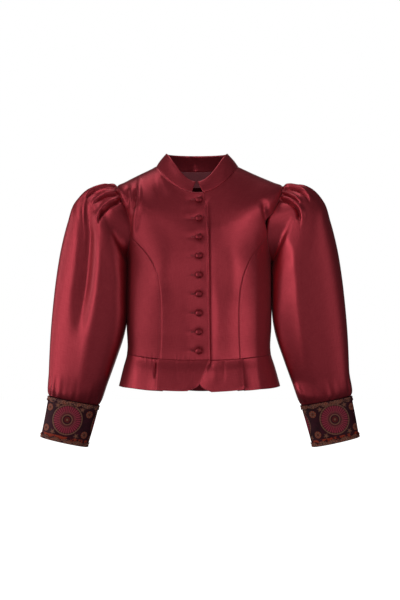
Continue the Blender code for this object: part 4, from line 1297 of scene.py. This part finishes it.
def cuff_points(turn, share, out=0.0):
    """Points of the left cuff by turn from its outer line and share of the way down."""
    top, bottom = np.array(CUFF_TOP), np.array(CUFF_BOTTOM)
    ends = top + (bottom - top) * np.asarray(share)[..., None]
    outer_x, outer_z, inner_x, inner_z, half_depth = np.moveaxis(ends, -1, 0)
    middle = np.stack([(outer_x + inner_x) / 2, 0 * outer_x, (outer_z + inner_z) / 2], axis=-1)
    across = np.stack([(outer_x - inner_x) / 2, 0 * outer_x, (outer_z - inner_z) / 2], axis=-1)
    width = np.linalg.norm(across, axis=-1, keepdims=True)
    turned = np.radians(turn)[..., None]
    square = CUFF_SQUARENESS
    oval = (abs(np.cos(turned)) ** square + abs(np.sin(turned)) ** square) ** (-1 / square)
    out = np.asarray(out)[..., None] if np.ndim(out) else out
    return (
        middle
        + across / width * (width + out) * oval * np.cos(turned)
        + (half_depth[..., None] + out) * oval * np.sin(turned) * (0, 1, 0)
    )


def cuff_maps(points, turn, side):
    """Maps for the figured cloth: from the nearest medallion, flower and sprig, and the border."""
    steps = np.linalg.norm(np.diff(points, axis=1), axis=-1)
    u = np.hstack([np.zeros((len(points), 1)), np.cumsum(steps, axis=1)])
    facing_column = np.argmin(abs(turn[0] - MEDALLION_TURN[side > 0]))
    u = (u - u[:, facing_column:facing_column + 1]) / u[:, -1:] * CUFF_GIRTH
    v = np.linspace(-0.5, 0.5, len(points))[:, None] * CUFF_LENGTH + 0 * u
    flat_u, flat_v = u.ravel(), v.ravel()
    pitch = CUFF_GIRTH / MEDALLIONS

    def by_face(place):
        def layer(corners):
            across, up = flat_u[corners], flat_v[corners]
            middle_across, middle_up = (part.mean(1, keepdims=True) for part in (across, up))
            return np.stack(place(across, up, middle_across, middle_up), axis=-1) * MM
        return layer

    def medallion(across, up, middle_across, _):
        return across - np.round(middle_across / pitch) * pitch, up - MEDALLION_UP

    def flower(across, up, middle_across, middle_up):
        centre = (np.floor(middle_across / pitch) + 0.5) * pitch
        return across - centre, up - np.where(middle_up > 0, FLOWER_UP, FLOWER_DOWN)

    def sprig(across, up, middle_across, _):
        local = across - np.round(middle_across / pitch) * pitch
        return abs(local) - SPRIG_ASIDE, abs(up - SPRIG_MIDDLE) - SPRIG_UP

    def border(across, up, *_):
        return across, up + CUFF_LENGTH / 2

    places = {"medallion": medallion, "flower": flower, "sprig": sprig, "border": border}
    return {name: by_face(place) for name, place in places.items()}


def add_cuffs(sizes):
    for side in SIDES:
        turn, share = np.meshgrid(
            np.linspace(0, 360, CUFF_COLUMNS + 1), np.linspace(0, 1, CUFF_ROWS + 1)
        )
        dent = CUFF_DENT * np.sin(np.radians(turn * CUFF_DENTS + 40 * side))
        dent *= np.sin(np.pi * share)
        points = cuff_points(turn, share, dent) * (side, 1, 1)
        points, turn = points[::-1], turn[::-1]
        if side > 0:
            points, turn = points[:, ::-1], turn[:, ::-1]
        add_cloth(side_name("cuff", side), points, sizes.cuff_wall, "brocade", tube=True,
                  uv_maps=cuff_maps(points, turn, side))


def add_edgings(sizes):
    turn, row = np.meshgrid(
        np.linspace(0, 360, SCALLOPS * SCALLOP_COLUMNS + 1), np.linspace(0, 1, EDGING_ROWS + 1)
    )
    crest = abs(np.sin(np.radians(turn * SCALLOPS / 2)))
    height = (TRIM_HEIGHT[0] + (TRIM_HEIGHT[1] - TRIM_HEIGHT[0]) * crest) / CUFF_LENGTH
    rope = 0.5 + 0.5 * np.cos(np.radians(turn * SCALLOPS * TWISTS) + TWIST_LEAN * row)
    cord = np.exp(-((row - OUTER_CORD[0]) / OUTER_CORD[1]) ** 2) * (0.5 + 0.5 * rope)
    heading = HEADING_SHARE * np.exp(-((row - HEADING[0]) / HEADING[1]) ** 2) * (0.6 + 0.4 * rope)
    out = (sizes.cuff_wall + sizes.trim_wall) / 2 + EDGING_GAP + CORD_HEIGHT * (cord + heading)
    rim = TRIM_SET_IN / CUFF_LENGTH
    for side in SIDES:
        top = cuff_points(turn, rim + row * height, out) * (side, 1, 1)
        bottom = cuff_points(turn, 1 - rim - row * height, out) * (side, 1, 1)
        if side > 0:
            top, bottom = top[:, ::-1], bottom[:, ::-1]
        for node, points in (("cuff_top_edging", top[::-1]), ("cuff_bottom_edging", bottom)):
            add_cloth(side_name(node, side), points, sizes.trim_wall, "gimp", tube=True)


# Buttons, buttonholes and stitching

BUTTON_STEPS = 32
BUTTON_RIM = ((0.45, 0.0), (0.8, 0.9), (0.97, 1.9))  # shares of the radius, and heights
DOME_FOOT, DOME_FULLNESS = 2.4, 0.85
BUTTON_STAND = 1.5  # from the cloth's face to the button's back
STITCH_GAP = 1.0
PRINCESS_STITCHES_IN, HEM_STITCHES_UP = 6.5, 6.0  # from the seam and from the hem's edge
BUTTONHOLE_HALF, BUTTONHOLE_RIM, BUTTONHOLE_ASIDE = 9.0, 1.3, 6.5
RIM_STITCH_HALF, RIM_STITCH_THICKNESS, RIM_STITCH_LIFT = 0.9, 0.36, 0.15
IN_FRONT = -400.0  # where rays start that find the front


def cloth_tree(points):
    """The mid-surface of a piece, for finding what rests on it."""
    rows, columns = points.shape[:2]
    build = bmesh.new()
    bmesh.ops.create_grid(build, x_segments=columns - 1, y_segments=rows - 1, size=0.5)
    build.verts.ensure_lookup_table()
    for vertex, place in zip(build.verts, points.reshape(-1, 3)):
        vertex.co = Vector(place)
    build.normal_update()
    tree = BVHTree.FromBMesh(build)
    build.free()
    return tree


def on_front(tree, x, level):
    """The place and outward normal on the front at a distance from the middle and a level."""
    place, normal, *_ = tree.ray_cast(Vector((x, IN_FRONT, level)), Vector((0, 1, 0)))
    if normal.y > 0:
        normal.negate()
    return place, normal


def button_level(number):
    return BUTTON_FIRST_Z - BUTTON_PITCH * number


def button_profile(radius, height):
    """Half of a covered button: its flat back, tucked rim and dome."""
    rim = [(radius * share, up) for share, up in BUTTON_RIM]
    dome = [
        (radius * math.cos(angle) ** DOME_FULLNESS,
         DOME_FOOT + (height - DOME_FOOT) * math.sin(angle))
        for angle in np.radians(np.linspace(0, 84, 12))
    ]
    return [(0.0, 0.0), *rim, *dome, (0.0, height)]


def lathed(profile, steps):
    """What a profile of (radius, height) makes, turned about the vertical axis."""
    build = bmesh.new()
    corners = [build.verts.new(Vector((radius, 0.0, height))) for radius, height in profile]
    edges = [build.edges.new(pair) for pair in zip(corners, corners[1:])]
    bmesh.ops.spin(build, geom=corners + edges, axis=(0, 0, 1), cent=(0, 0, 0),
                   angle=2 * math.pi, steps=steps, use_merge=True)
    bmesh.ops.remove_doubles(build, verts=build.verts, dist=1e-3)
    bmesh.ops.recalc_face_normals(build, faces=build.faces)
    return build


def add_buttons(sizes, tree):
    for number in range(BUTTONS):
        place, normal = on_front(tree, BUTTON_X, button_level(number))
        build = lathed(button_profile(sizes.button_radius, sizes.button_height), BUTTON_STEPS)
        lean = normal.to_track_quat("Z", "Y").to_matrix().to_4x4()
        foot = Matrix.Translation(place + normal * (sizes.bodice_wall / 2 + BUTTON_STAND))
        bmesh.ops.transform(build, matrix=foot @ lean, verts=build.verts)
        bmesh.ops.scale(build, vec=(MM, MM, MM), verts=build.verts)
        layer = build.loops.layers.uv.new("cloth")
        for face in build.faces:
            for loop in face.loops:
                loop[layer].uv = loop.vert.co.xz
        node = f"button_{number + 1}"
        add_piece(f"{node}_covered", mesh_from(build, node), "satin", (node,))


def add_stitch(build, start, end, normal, half_thickness):
    """One stitch lying on the cloth between two points."""
    run = end - start
    side = normal.cross(run).normalized()
    axes = Matrix((run.normalized(), side, run.normalized().cross(side))).transposed().to_4x4()
    shape = Matrix.Diagonal((run.length / 2, half_thickness, half_thickness * 0.8, 1.0))
    bmesh.ops.create_uvsphere(
        build, u_segments=6, v_segments=4, radius=1.0,
        matrix=Matrix.Scale(MM, 4) @ Matrix.Translation((start + end) / 2) @ axes @ shape,
    )


def part_way(runs, rows, at):
    """The place or direction of a line of points at a length from its start."""
    return np.array([np.interp(at, runs, rows[:, axis]) for axis in range(3)])


def stitch_row(name, path, normals, sizes, lift):
    """A row of topstitching along a path of points."""
    runs = np.concatenate([[0.0], np.cumsum(np.linalg.norm(np.diff(path, axis=0), axis=1))])
    lifted = path + normals * lift
    stitch = sizes.stitch_length
    build = bmesh.new()
    for start in np.arange(STITCH_GAP / 2, runs[-1] - stitch, stitch + STITCH_GAP):
        ends = [Vector(part_way(runs, lifted, at)) for at in (start, start + stitch)]
        normal = Vector(part_way(runs, normals, start))
        add_stitch(build, *ends, normal, sizes.thread_thickness / 2)
    add_piece(name, mesh_from(build, name), "thread")


def line_inside(points, normals, edge, distance):
    """The line over a grid at a distance from one of its edges, and the normals along it."""
    runs = edge_runs(points, (edge,))[edge]
    if edge in ("bottom", "top"):
        points, normals, runs = (np.swapaxes(a, 0, 1) for a in (points, normals, runs))
    if runs[0, 0] > runs[0, -1]:
        points, normals, runs = points[:, ::-1], normals[:, ::-1], runs[:, ::-1]
    line = [part_way(run, row, distance) for run, row in zip(runs, points)]
    lean = [part_way(run, row, distance) for run, row in zip(runs, normals)]
    return np.array(line), unit(np.array(lean))


def add_stitching(sizes):
    rows = {
        side_name("princess_topstitching", side): (
            side_front_points(side), front_and_side(side)[0], PRINCESS_STITCHES_IN,
            sizes.bodice_wall,
        )
        for side in SIDES
    }
    hem = ("bottom", HEM_STITCHES_UP, sizes.peplum_wall)
    for side in SIDES:
        rows[side_name("hem_topstitching", side)] = (peplum_front_points(side), *hem)
    rows["hem_topstitching_back"] = (peplum_back_points(), *hem)
    for name, (cloth, edge, distance, wall) in rows.items():
        stitch_row(name, *line_inside(*cloth, edge, distance), sizes, wall / 2)


def buttonhole_outline():
    """(across, up) round a buttonhole's rim, from its middle."""
    upper = [(BUTTONHOLE_HALF * share, BUTTONHOLE_RIM) for share in np.linspace(-1, 1, 13)]
    for angle in np.radians((45, 90, 135)):
        upper.append((
            BUTTONHOLE_HALF + BUTTONHOLE_RIM * math.sin(angle), BUTTONHOLE_RIM * math.cos(angle)
        ))
    return upper + [(-across, -up) for across, up in upper]


def add_buttonholes(sizes, tree):
    """Worked buttonholes: a rim of close stitches round a slit, under and beside each button."""
    centre = BUTTON_X - BUTTONHOLE_ASIDE
    lift = sizes.bodice_wall / 2 + RIM_STITCH_LIFT
    for number in range(BUTTONS):
        level = button_level(number)
        ring = [on_front(tree, centre + x, level + z) for x, z in buttonhole_outline()]
        build = bmesh.new()
        for (place, normal), (after, _) in zip(ring, ring[1:] + ring[:1]):
            run = (after - place).normalized()
            across = normal.cross(run) * RIM_STITCH_HALF
            for spread in (-0.25, 0.25):
                shift = run * (after - place).length * spread
                middle = (place + after) / 2 + normal * lift + shift
                add_stitch(build, middle - across, middle + across, normal, RIM_STITCH_THICKNESS)
        name = f"buttonhole_{number + 1}"
        add_piece(name, mesh_from(build, name), "thread")


# Stage

def both_sides(*nodes):
    """The cloth pieces of both sides in place of the named nodes."""
    return tuple(f"{side_name(node, side)}_cloth" for node in nodes for side in SIDES)


FRONTS = both_sides("front", "side_front", "peplum_front")
BESIDES_FRONTS = (
    both_sides("sleeve", "cuff", "cuff_top_edging", "cuff_bottom_edging")
    + ("collar_cloth",) + tuple(f"button_{number + 1}_covered" for number in range(BUTTONS))
)
MIDDLE = (0.0, 0.0, -0.28)

# The studio's places and sizes are in metres. A softbox that names pieces falls only on them, so
# that the satin's bright and dark bands lie where the photograph has them.
Softbox = namedtuple("Softbox", "name power place aim width height falls_on")
SOFTBOXES = (
    Softbox("key_softbox", "key_light", (-2.1, -1.1, -0.25), MIDDLE, 0.9, 2.4, ()),
    Softbox("sleeve_softbox", "sleeve_light", (-2.1, -1.2, -0.25), MIDDLE, 0.9, 2.4,
            BESIDES_FRONTS),
    Softbox("left_strip", "left_light", (-2.3, 0.35, -0.3), MIDDLE, 0.9, 2.4, ()),
    Softbox("right_softbox", "side_light", (1.8, -1.5, -0.3), MIDDLE, 1.4, 2.6, ()),
    Softbox("left_sleeve_softbox", "inner_light", (-1.9, -1.6, -0.25), MIDDLE, 0.7, 2.6,
            ("sleeve_left_cloth",)),
    Softbox("bodice_left_strip", "front_light", (-0.9, -2.9, -0.1), MIDDLE, 0.4, 5.2, FRONTS),
    Softbox("bodice_right_strip", "right_light", (1.5, -2.5, -0.1), MIDDLE, 0.4, 5.2, FRONTS),
    Softbox("sleeve_head_softbox", "head_light", (-1.5, -1.1, 1.4), (0, 0, -0.1), 0.9, 0.9,
            ("sleeve_right_cloth",)),
    Softbox("collar_strip", "collar_light", (-0.2, -2.8, 0.5), (0, 0, 0), 0.3, 1.0,
            ("collar_cloth", "back_neck_facing_cloth")),
    Softbox("left_sleeve_head_softbox", "left_head_light", (-0.66, -1.86, 1.28), (0.17, 0, -0.1),
            0.7, 0.9, ("sleeve_left_cloth",)),
    Softbox("peplum_softbox", "peplum_light", (-2.1, -0.9, 0.8), (0, 0, -0.45), 0.6, 0.9,
            both_sides("peplum_front")),
    Softbox("top_softbox", "top_light", (-0.5, 0.3, 2.1), MIDDLE, 1.8, 1.2, ()),
    Softbox("front_fill", "fill_light", (0.0, -3.3, -0.2), MIDDLE, 2.4, 4.2, ()),
    Softbox("back_fill", "fill_light", (0.3, 3.3, 0.1), MIDDLE, 2.4, 2.8, ()),
)
FLOOR_REACH = 12.0
SENSOR_WIDTH = 36.0  # millimetres


def add_softbox(softbox, watts):
    """A soft rectangle of light."""
    data = bpy.data.lights.new(softbox.name, "AREA")
    data.shape, data.size, data.size_y = "RECTANGLE", softbox.width, softbox.height
    data.energy = watts
    made = bpy.data.objects.new(softbox.name, data)
    made.location = softbox.place
    towards = Vector(softbox.aim) - Vector(softbox.place)
    made.rotation_euler = towards.to_track_quat("-Z", "Y").to_euler()
    made.visible_camera = False
    bpy.context.scene.collection.objects.link(made)
    if softbox.falls_on:
        lit = bpy.data.collections.new(f"{softbox.name}_falls_on")
        for piece in softbox.falls_on:
            lit.objects.link(bpy.data.objects[piece])
        made.light_linking.receiver_collection = lit


def add_floor(level):
    """A plain pale floor that the camera sees, and that throws nothing back on the cloth."""
    build = bmesh.new()
    bmesh.ops.create_grid(build, x_segments=1, y_segments=1, size=FLOOR_REACH)
    bmesh.ops.translate(build, vec=(0, 0, level), verts=build.verts)
    mesh = mesh_from(build, "floor")
    mesh.materials.append(paper_white())
    floor = bpy.data.objects.new("floor", mesh)
    bpy.context.scene.collection.objects.link(floor)
    floor.visible_diffuse = floor.visible_glossy = floor.visible_shadow = False


def add_room(strength):
    """A white room to the camera, and a dim one to the cloth."""
    world = bpy.data.worlds.new("studio")
    world.use_nodes = True
    bpy.context.scene.world = world
    tree = world.node_tree
    room = tree.nodes["Background"]
    room.inputs["Color"].default_value = grey(1.0)
    room.inputs["Strength"].default_value = strength
    seen = add_node(tree, "Background", {"Color": grey(1.0), "Strength": 1.0})
    ray = add_node(tree, "LightPath")
    mix = add_node(tree, "MixShader", {
        0: ray.outputs["Is Camera Ray"], 1: room.outputs[0], 2: seen.outputs[0],
    })
    tree.links.new(mix.outputs[0], tree.nodes["World Output"].inputs["Surface"])


def add_camera(frame_height):
    """The photograph's eye: level, at the jacket's middle."""
    data = bpy.data.cameras.new("camera")
    data.sensor_fit = "AUTO"
    data.sensor_width = SENSOR_WIDTH
    data.lens = SENSOR_WIDTH * EYE_DISTANCE * MM / frame_height
    camera = bpy.data.objects.new("camera", data)
    camera.location = (0.0, -EYE_DISTANCE * MM, EYE_Z * MM)
    camera.rotation_euler = (math.radians(90), 0, 0)
    bpy.context.scene.collection.objects.link(camera)
    bpy.context.scene.camera = camera


def add_stage(stage):
    bpy.context.scene.view_settings.view_transform = "Standard"
    add_floor(stage.floor_level)
    add_room(stage.room_light)
    for softbox in SOFTBOXES:
        add_softbox(softbox, getattr(stage, softbox.power))
    add_camera(stage.frame_height)


# Add-on

def size_property(name, description, millimetres, least, most):
    """A small length, kept in metres as Blender's lengths are."""
    return FloatProperty(
        name=name, description=description, unit="LENGTH", precision=5,
        default=millimetres * MM, min=least * MM, max=most * MM,
    )


def colour_property(name, description, hex_colour):
    return FloatVectorProperty(
        name=name, description=description, subtype="COLOR", size=3, min=0.0, max=1.0,
        default=linear(hex_colour),
    )


def power_property(name, description, watts):
    return FloatProperty(
        name=name, description=f"Power of {description}", subtype="POWER", default=watts, min=0.0,
    )


class JacketSizes(bpy.types.PropertyGroup):
    """Sizes of the cloth and of what is sewn on."""

    bodice_wall: size_property(
        "Bodice cloth", "Thickness of the bodice with its interlining", 1.6, 0.5, 3.0)
    peplum_wall: size_property("Peplum cloth", "Thickness of the peplum", 1.2, 0.5, 3.0)
    sleeve_wall: size_property("Sleeve cloth", "Thickness of the sleeves", 1.2, 0.5, 3.0)
    collar_wall: size_property("Collar cloth", "Thickness of the collar band", 2.4, 0.5, 4.0)
    cuff_wall: size_property("Cuff cloth", "Thickness of the cuffs", 2.4, 0.5, 4.0)
    facing_wall: size_property("Facing cloth", "Thickness of the neck facing", 1.0, 0.3, 2.0)
    trim_wall: size_property("Edging", "Thickness of the scalloped edging", 1.0, 0.3, 2.0)
    gather_depth: size_property(
        "Cuff gathers", "Depth of the gathers above the cuffs", 1.1, 0.0, 4.0)
    button_radius: size_property("Button radius", "Radius of the covered buttons", 7.0, 4.0, 12.0)
    button_height: size_property("Button height", "Height of the buttons' domes", 6.2, 2.0, 9.0)
    stitch_length: size_property("Stitch length", "Length of a topstitch", 3.0, 1.5, 6.0)
    thread_thickness: size_property("Thread", "Thickness of the sewing thread", 0.55, 0.2, 1.5)


class JacketColours(bpy.types.PropertyGroup):
    """Colours of the cloths and threads."""

    satin: colour_property("Satin", "The satin's own colour", "#a5343f")
    satin_dark: colour_property("Satin, dark slubs", "The satin between its slubs", "#992c38")
    satin_light: colour_property("Satin, light slubs", "The satin's brightest slubs", "#af3b46")
    facing: colour_property("Facing", "The neck facing", "#9a4a54")
    ground: colour_property("Cuff ground", "The figured cloth's ground", "#45081f")
    medallion: colour_property("Medallion", "The medallions' petals", "#b23a50")
    bronze: colour_property("Bronze", "The rings, flowers and edging", "#96604f")
    accent: colour_property("Ember", "The orange-red accents", "#a83a22")
    thread: colour_property("Thread", "The topstitching", "#b44a54")


class JacketStage(bpy.types.PropertyGroup):
    """The studio round the jacket."""

    key_light: power_property("Key softbox", "the main light, at the front left", 10.5)
    sleeve_light: power_property(
        "Sleeve softbox", "the light beside the key that falls on all but the bodice", 7.5)
    left_light: power_property("Left strip", "the strip at the left, a little behind", 12.0)
    side_light: power_property("Right softbox", "the soft light at the front right", 9.0)
    inner_light: power_property(
        "Left sleeve softbox", "the light on the inner side of the left sleeve", 12.0)
    front_light: power_property(
        "Bodice left strip", "the strip that lights the middle of the bodice", 10.0)
    right_light: power_property(
        "Bodice right strip", "the strip that lights the right of the bodice", 27.0)
    head_light: power_property(
        "Right sleeve head softbox", "the light from above on the right sleeve's puff", 9.0)
    left_head_light: power_property(
        "Left sleeve head softbox", "the light from above on the left sleeve's puff", 5.0)
    collar_light: power_property("Collar strip", "the strip that reaches inside the collar", 22.0)
    peplum_light: power_property(
        "Peplum softbox", "the light from the upper left on the flared peplum", 5.5)
    top_light: power_property("Top softbox", "the light above", 13.0)
    fill_light: power_property("Fill", "each of the wide fills before and behind", 11.0)
    room_light: FloatProperty(
        name="Room", description="Brightness of the room on the cloth",
        subtype="FACTOR", default=0.05, min=0.0, max=2.0)
    floor_level: FloatProperty(
        name="Floor", description="Height of the floor under the worn jacket's neck",
        unit="LENGTH", default=-1.4)
    frame_height: FloatProperty(
        name="Frame height", description="Height of what the camera takes in at the jacket",
        unit="LENGTH", default=1.32)


def property_names(group):
    return [name for name in group.bl_rna.properties.keys() if name not in ("rna_type", "name")]


def sizes_in_mm(context):
    """The jacket's sizes in millimetres, as the tables are."""
    sizes = context.scene.jacket_sizes
    return SimpleNamespace(**{name: getattr(sizes, name) / MM for name in property_names(sizes)})


class JACKET_OT_bodice(bpy.types.Operator):
    """Cuts the fronts, side fronts, back and neck facing"""

    bl_idname = "jacket.bodice"
    bl_label = "Bodice"

    def execute(self, context):
        add_bodice(sizes_in_mm(context))
        return {"FINISHED"}


class JACKET_OT_peplum(bpy.types.Operator):
    """Cuts the peplum with its knife pleats"""

    bl_idname = "jacket.peplum"
    bl_label = "Peplum"

    def execute(self, context):
        add_peplum(sizes_in_mm(context))
        return {"FINISHED"}


class JACKET_OT_collar(bpy.types.Operator):
    """Sets the band collar on the neck"""

    bl_idname = "jacket.collar"
    bl_label = "Collar"

    def execute(self, context):
        add_collar(sizes_in_mm(context))
        return {"FINISHED"}


class JACKET_OT_sleeves(bpy.types.Operator):
    """Pleats the sleeves into the armholes and gathers them into the cuffs"""

    bl_idname = "jacket.sleeves"
    bl_label = "Sleeves"

    def execute(self, context):
        add_sleeves(sizes_in_mm(context))
        return {"FINISHED"}


class JACKET_OT_cuffs(bpy.types.Operator):
    """Closes the figured cuffs"""

    bl_idname = "jacket.cuffs"
    bl_label = "Cuffs"

    def execute(self, context):
        add_cuffs(sizes_in_mm(context))
        return {"FINISHED"}


class JACKET_OT_edgings(bpy.types.Operator):
    """Lays the scalloped edging along both edges of each cuff"""

    bl_idname = "jacket.edgings"
    bl_label = "Cuff Edgings"

    def execute(self, context):
        add_edgings(sizes_in_mm(context))
        return {"FINISHED"}


class JACKET_OT_buttons(bpy.types.Operator):
    """Sews on the covered buttons over their worked buttonholes"""

    bl_idname = "jacket.buttons"
    bl_label = "Buttons"

    def execute(self, context):
        sizes = sizes_in_mm(context)
        tree = cloth_tree(front_points(-1)[0])
        add_buttons(sizes, tree)
        add_buttonholes(sizes, tree)
        return {"FINISHED"}


class JACKET_OT_stitching(bpy.types.Operator):
    """Topstitches the princess seams and the hem"""

    bl_idname = "jacket.stitching"
    bl_label = "Stitching"

    def execute(self, context):
        add_stitching(sizes_in_mm(context))
        return {"FINISHED"}


class JACKET_OT_stage(bpy.types.Operator):
    """Sets the floor, the lights and the camera"""

    bl_idname = "jacket.stage"
    bl_label = "Stage"

    def execute(self, context):
        add_stage(context.scene.jacket_stage)
        return {"FINISHED"}


class JACKET_PT_panel(bpy.types.Panel):
    """Lists the jacket's pieces, sizes and colours"""

    bl_idname = "JACKET_PT_panel"
    bl_label = "Puff Sleeve Jacket"
    bl_space_type = "VIEW_3D"
    bl_region_type = "UI"
    bl_category = "Jacket"

    def draw(self, context):
        column = self.layout.column()
        for group in GROUPS:
            settings = getattr(context.scene, group)
            for name in property_names(settings):
                column.prop(settings, name)
            column.separator()
        for operator in PIECES:
            column.operator(operator.bl_idname)


GROUPS = {
    "jacket_sizes": JacketSizes, "jacket_colours": JacketColours, "jacket_stage": JacketStage,
}
PIECES = (
    JACKET_OT_bodice, JACKET_OT_peplum, JACKET_OT_collar, JACKET_OT_sleeves, JACKET_OT_cuffs,
    JACKET_OT_edgings, JACKET_OT_buttons, JACKET_OT_stitching, JACKET_OT_stage,
)


def register():
    for group in GROUPS.values():
        bpy.utils.register_class(group)
    for name, group in GROUPS.items():
        setattr(bpy.types.Scene, name, PointerProperty(type=group))
    for operator in PIECES:
        bpy.utils.register_class(operator)
    bpy.utils.register_class(JACKET_PT_panel)


def unregister():
    bpy.utils.unregister_class(JACKET_PT_panel)
    for operator in reversed(PIECES):
        bpy.utils.unregister_class(operator)
    for name in GROUPS:
        delattr(bpy.types.Scene, name)
    for group in reversed(list(GROUPS.values())):
        bpy.utils.unregister_class(group)


def main():
    register()
    bpy.ops.jacket.bodice()
    bpy.ops.jacket.peplum()
    bpy.ops.jacket.collar()
    bpy.ops.jacket.sleeves()
    bpy.ops.jacket.cuffs()
    bpy.ops.jacket.edgings()
    bpy.ops.jacket.buttons()
    bpy.ops.jacket.stitching()
    bpy.ops.jacket.stage()


if __name__ == "__main__":
    main()
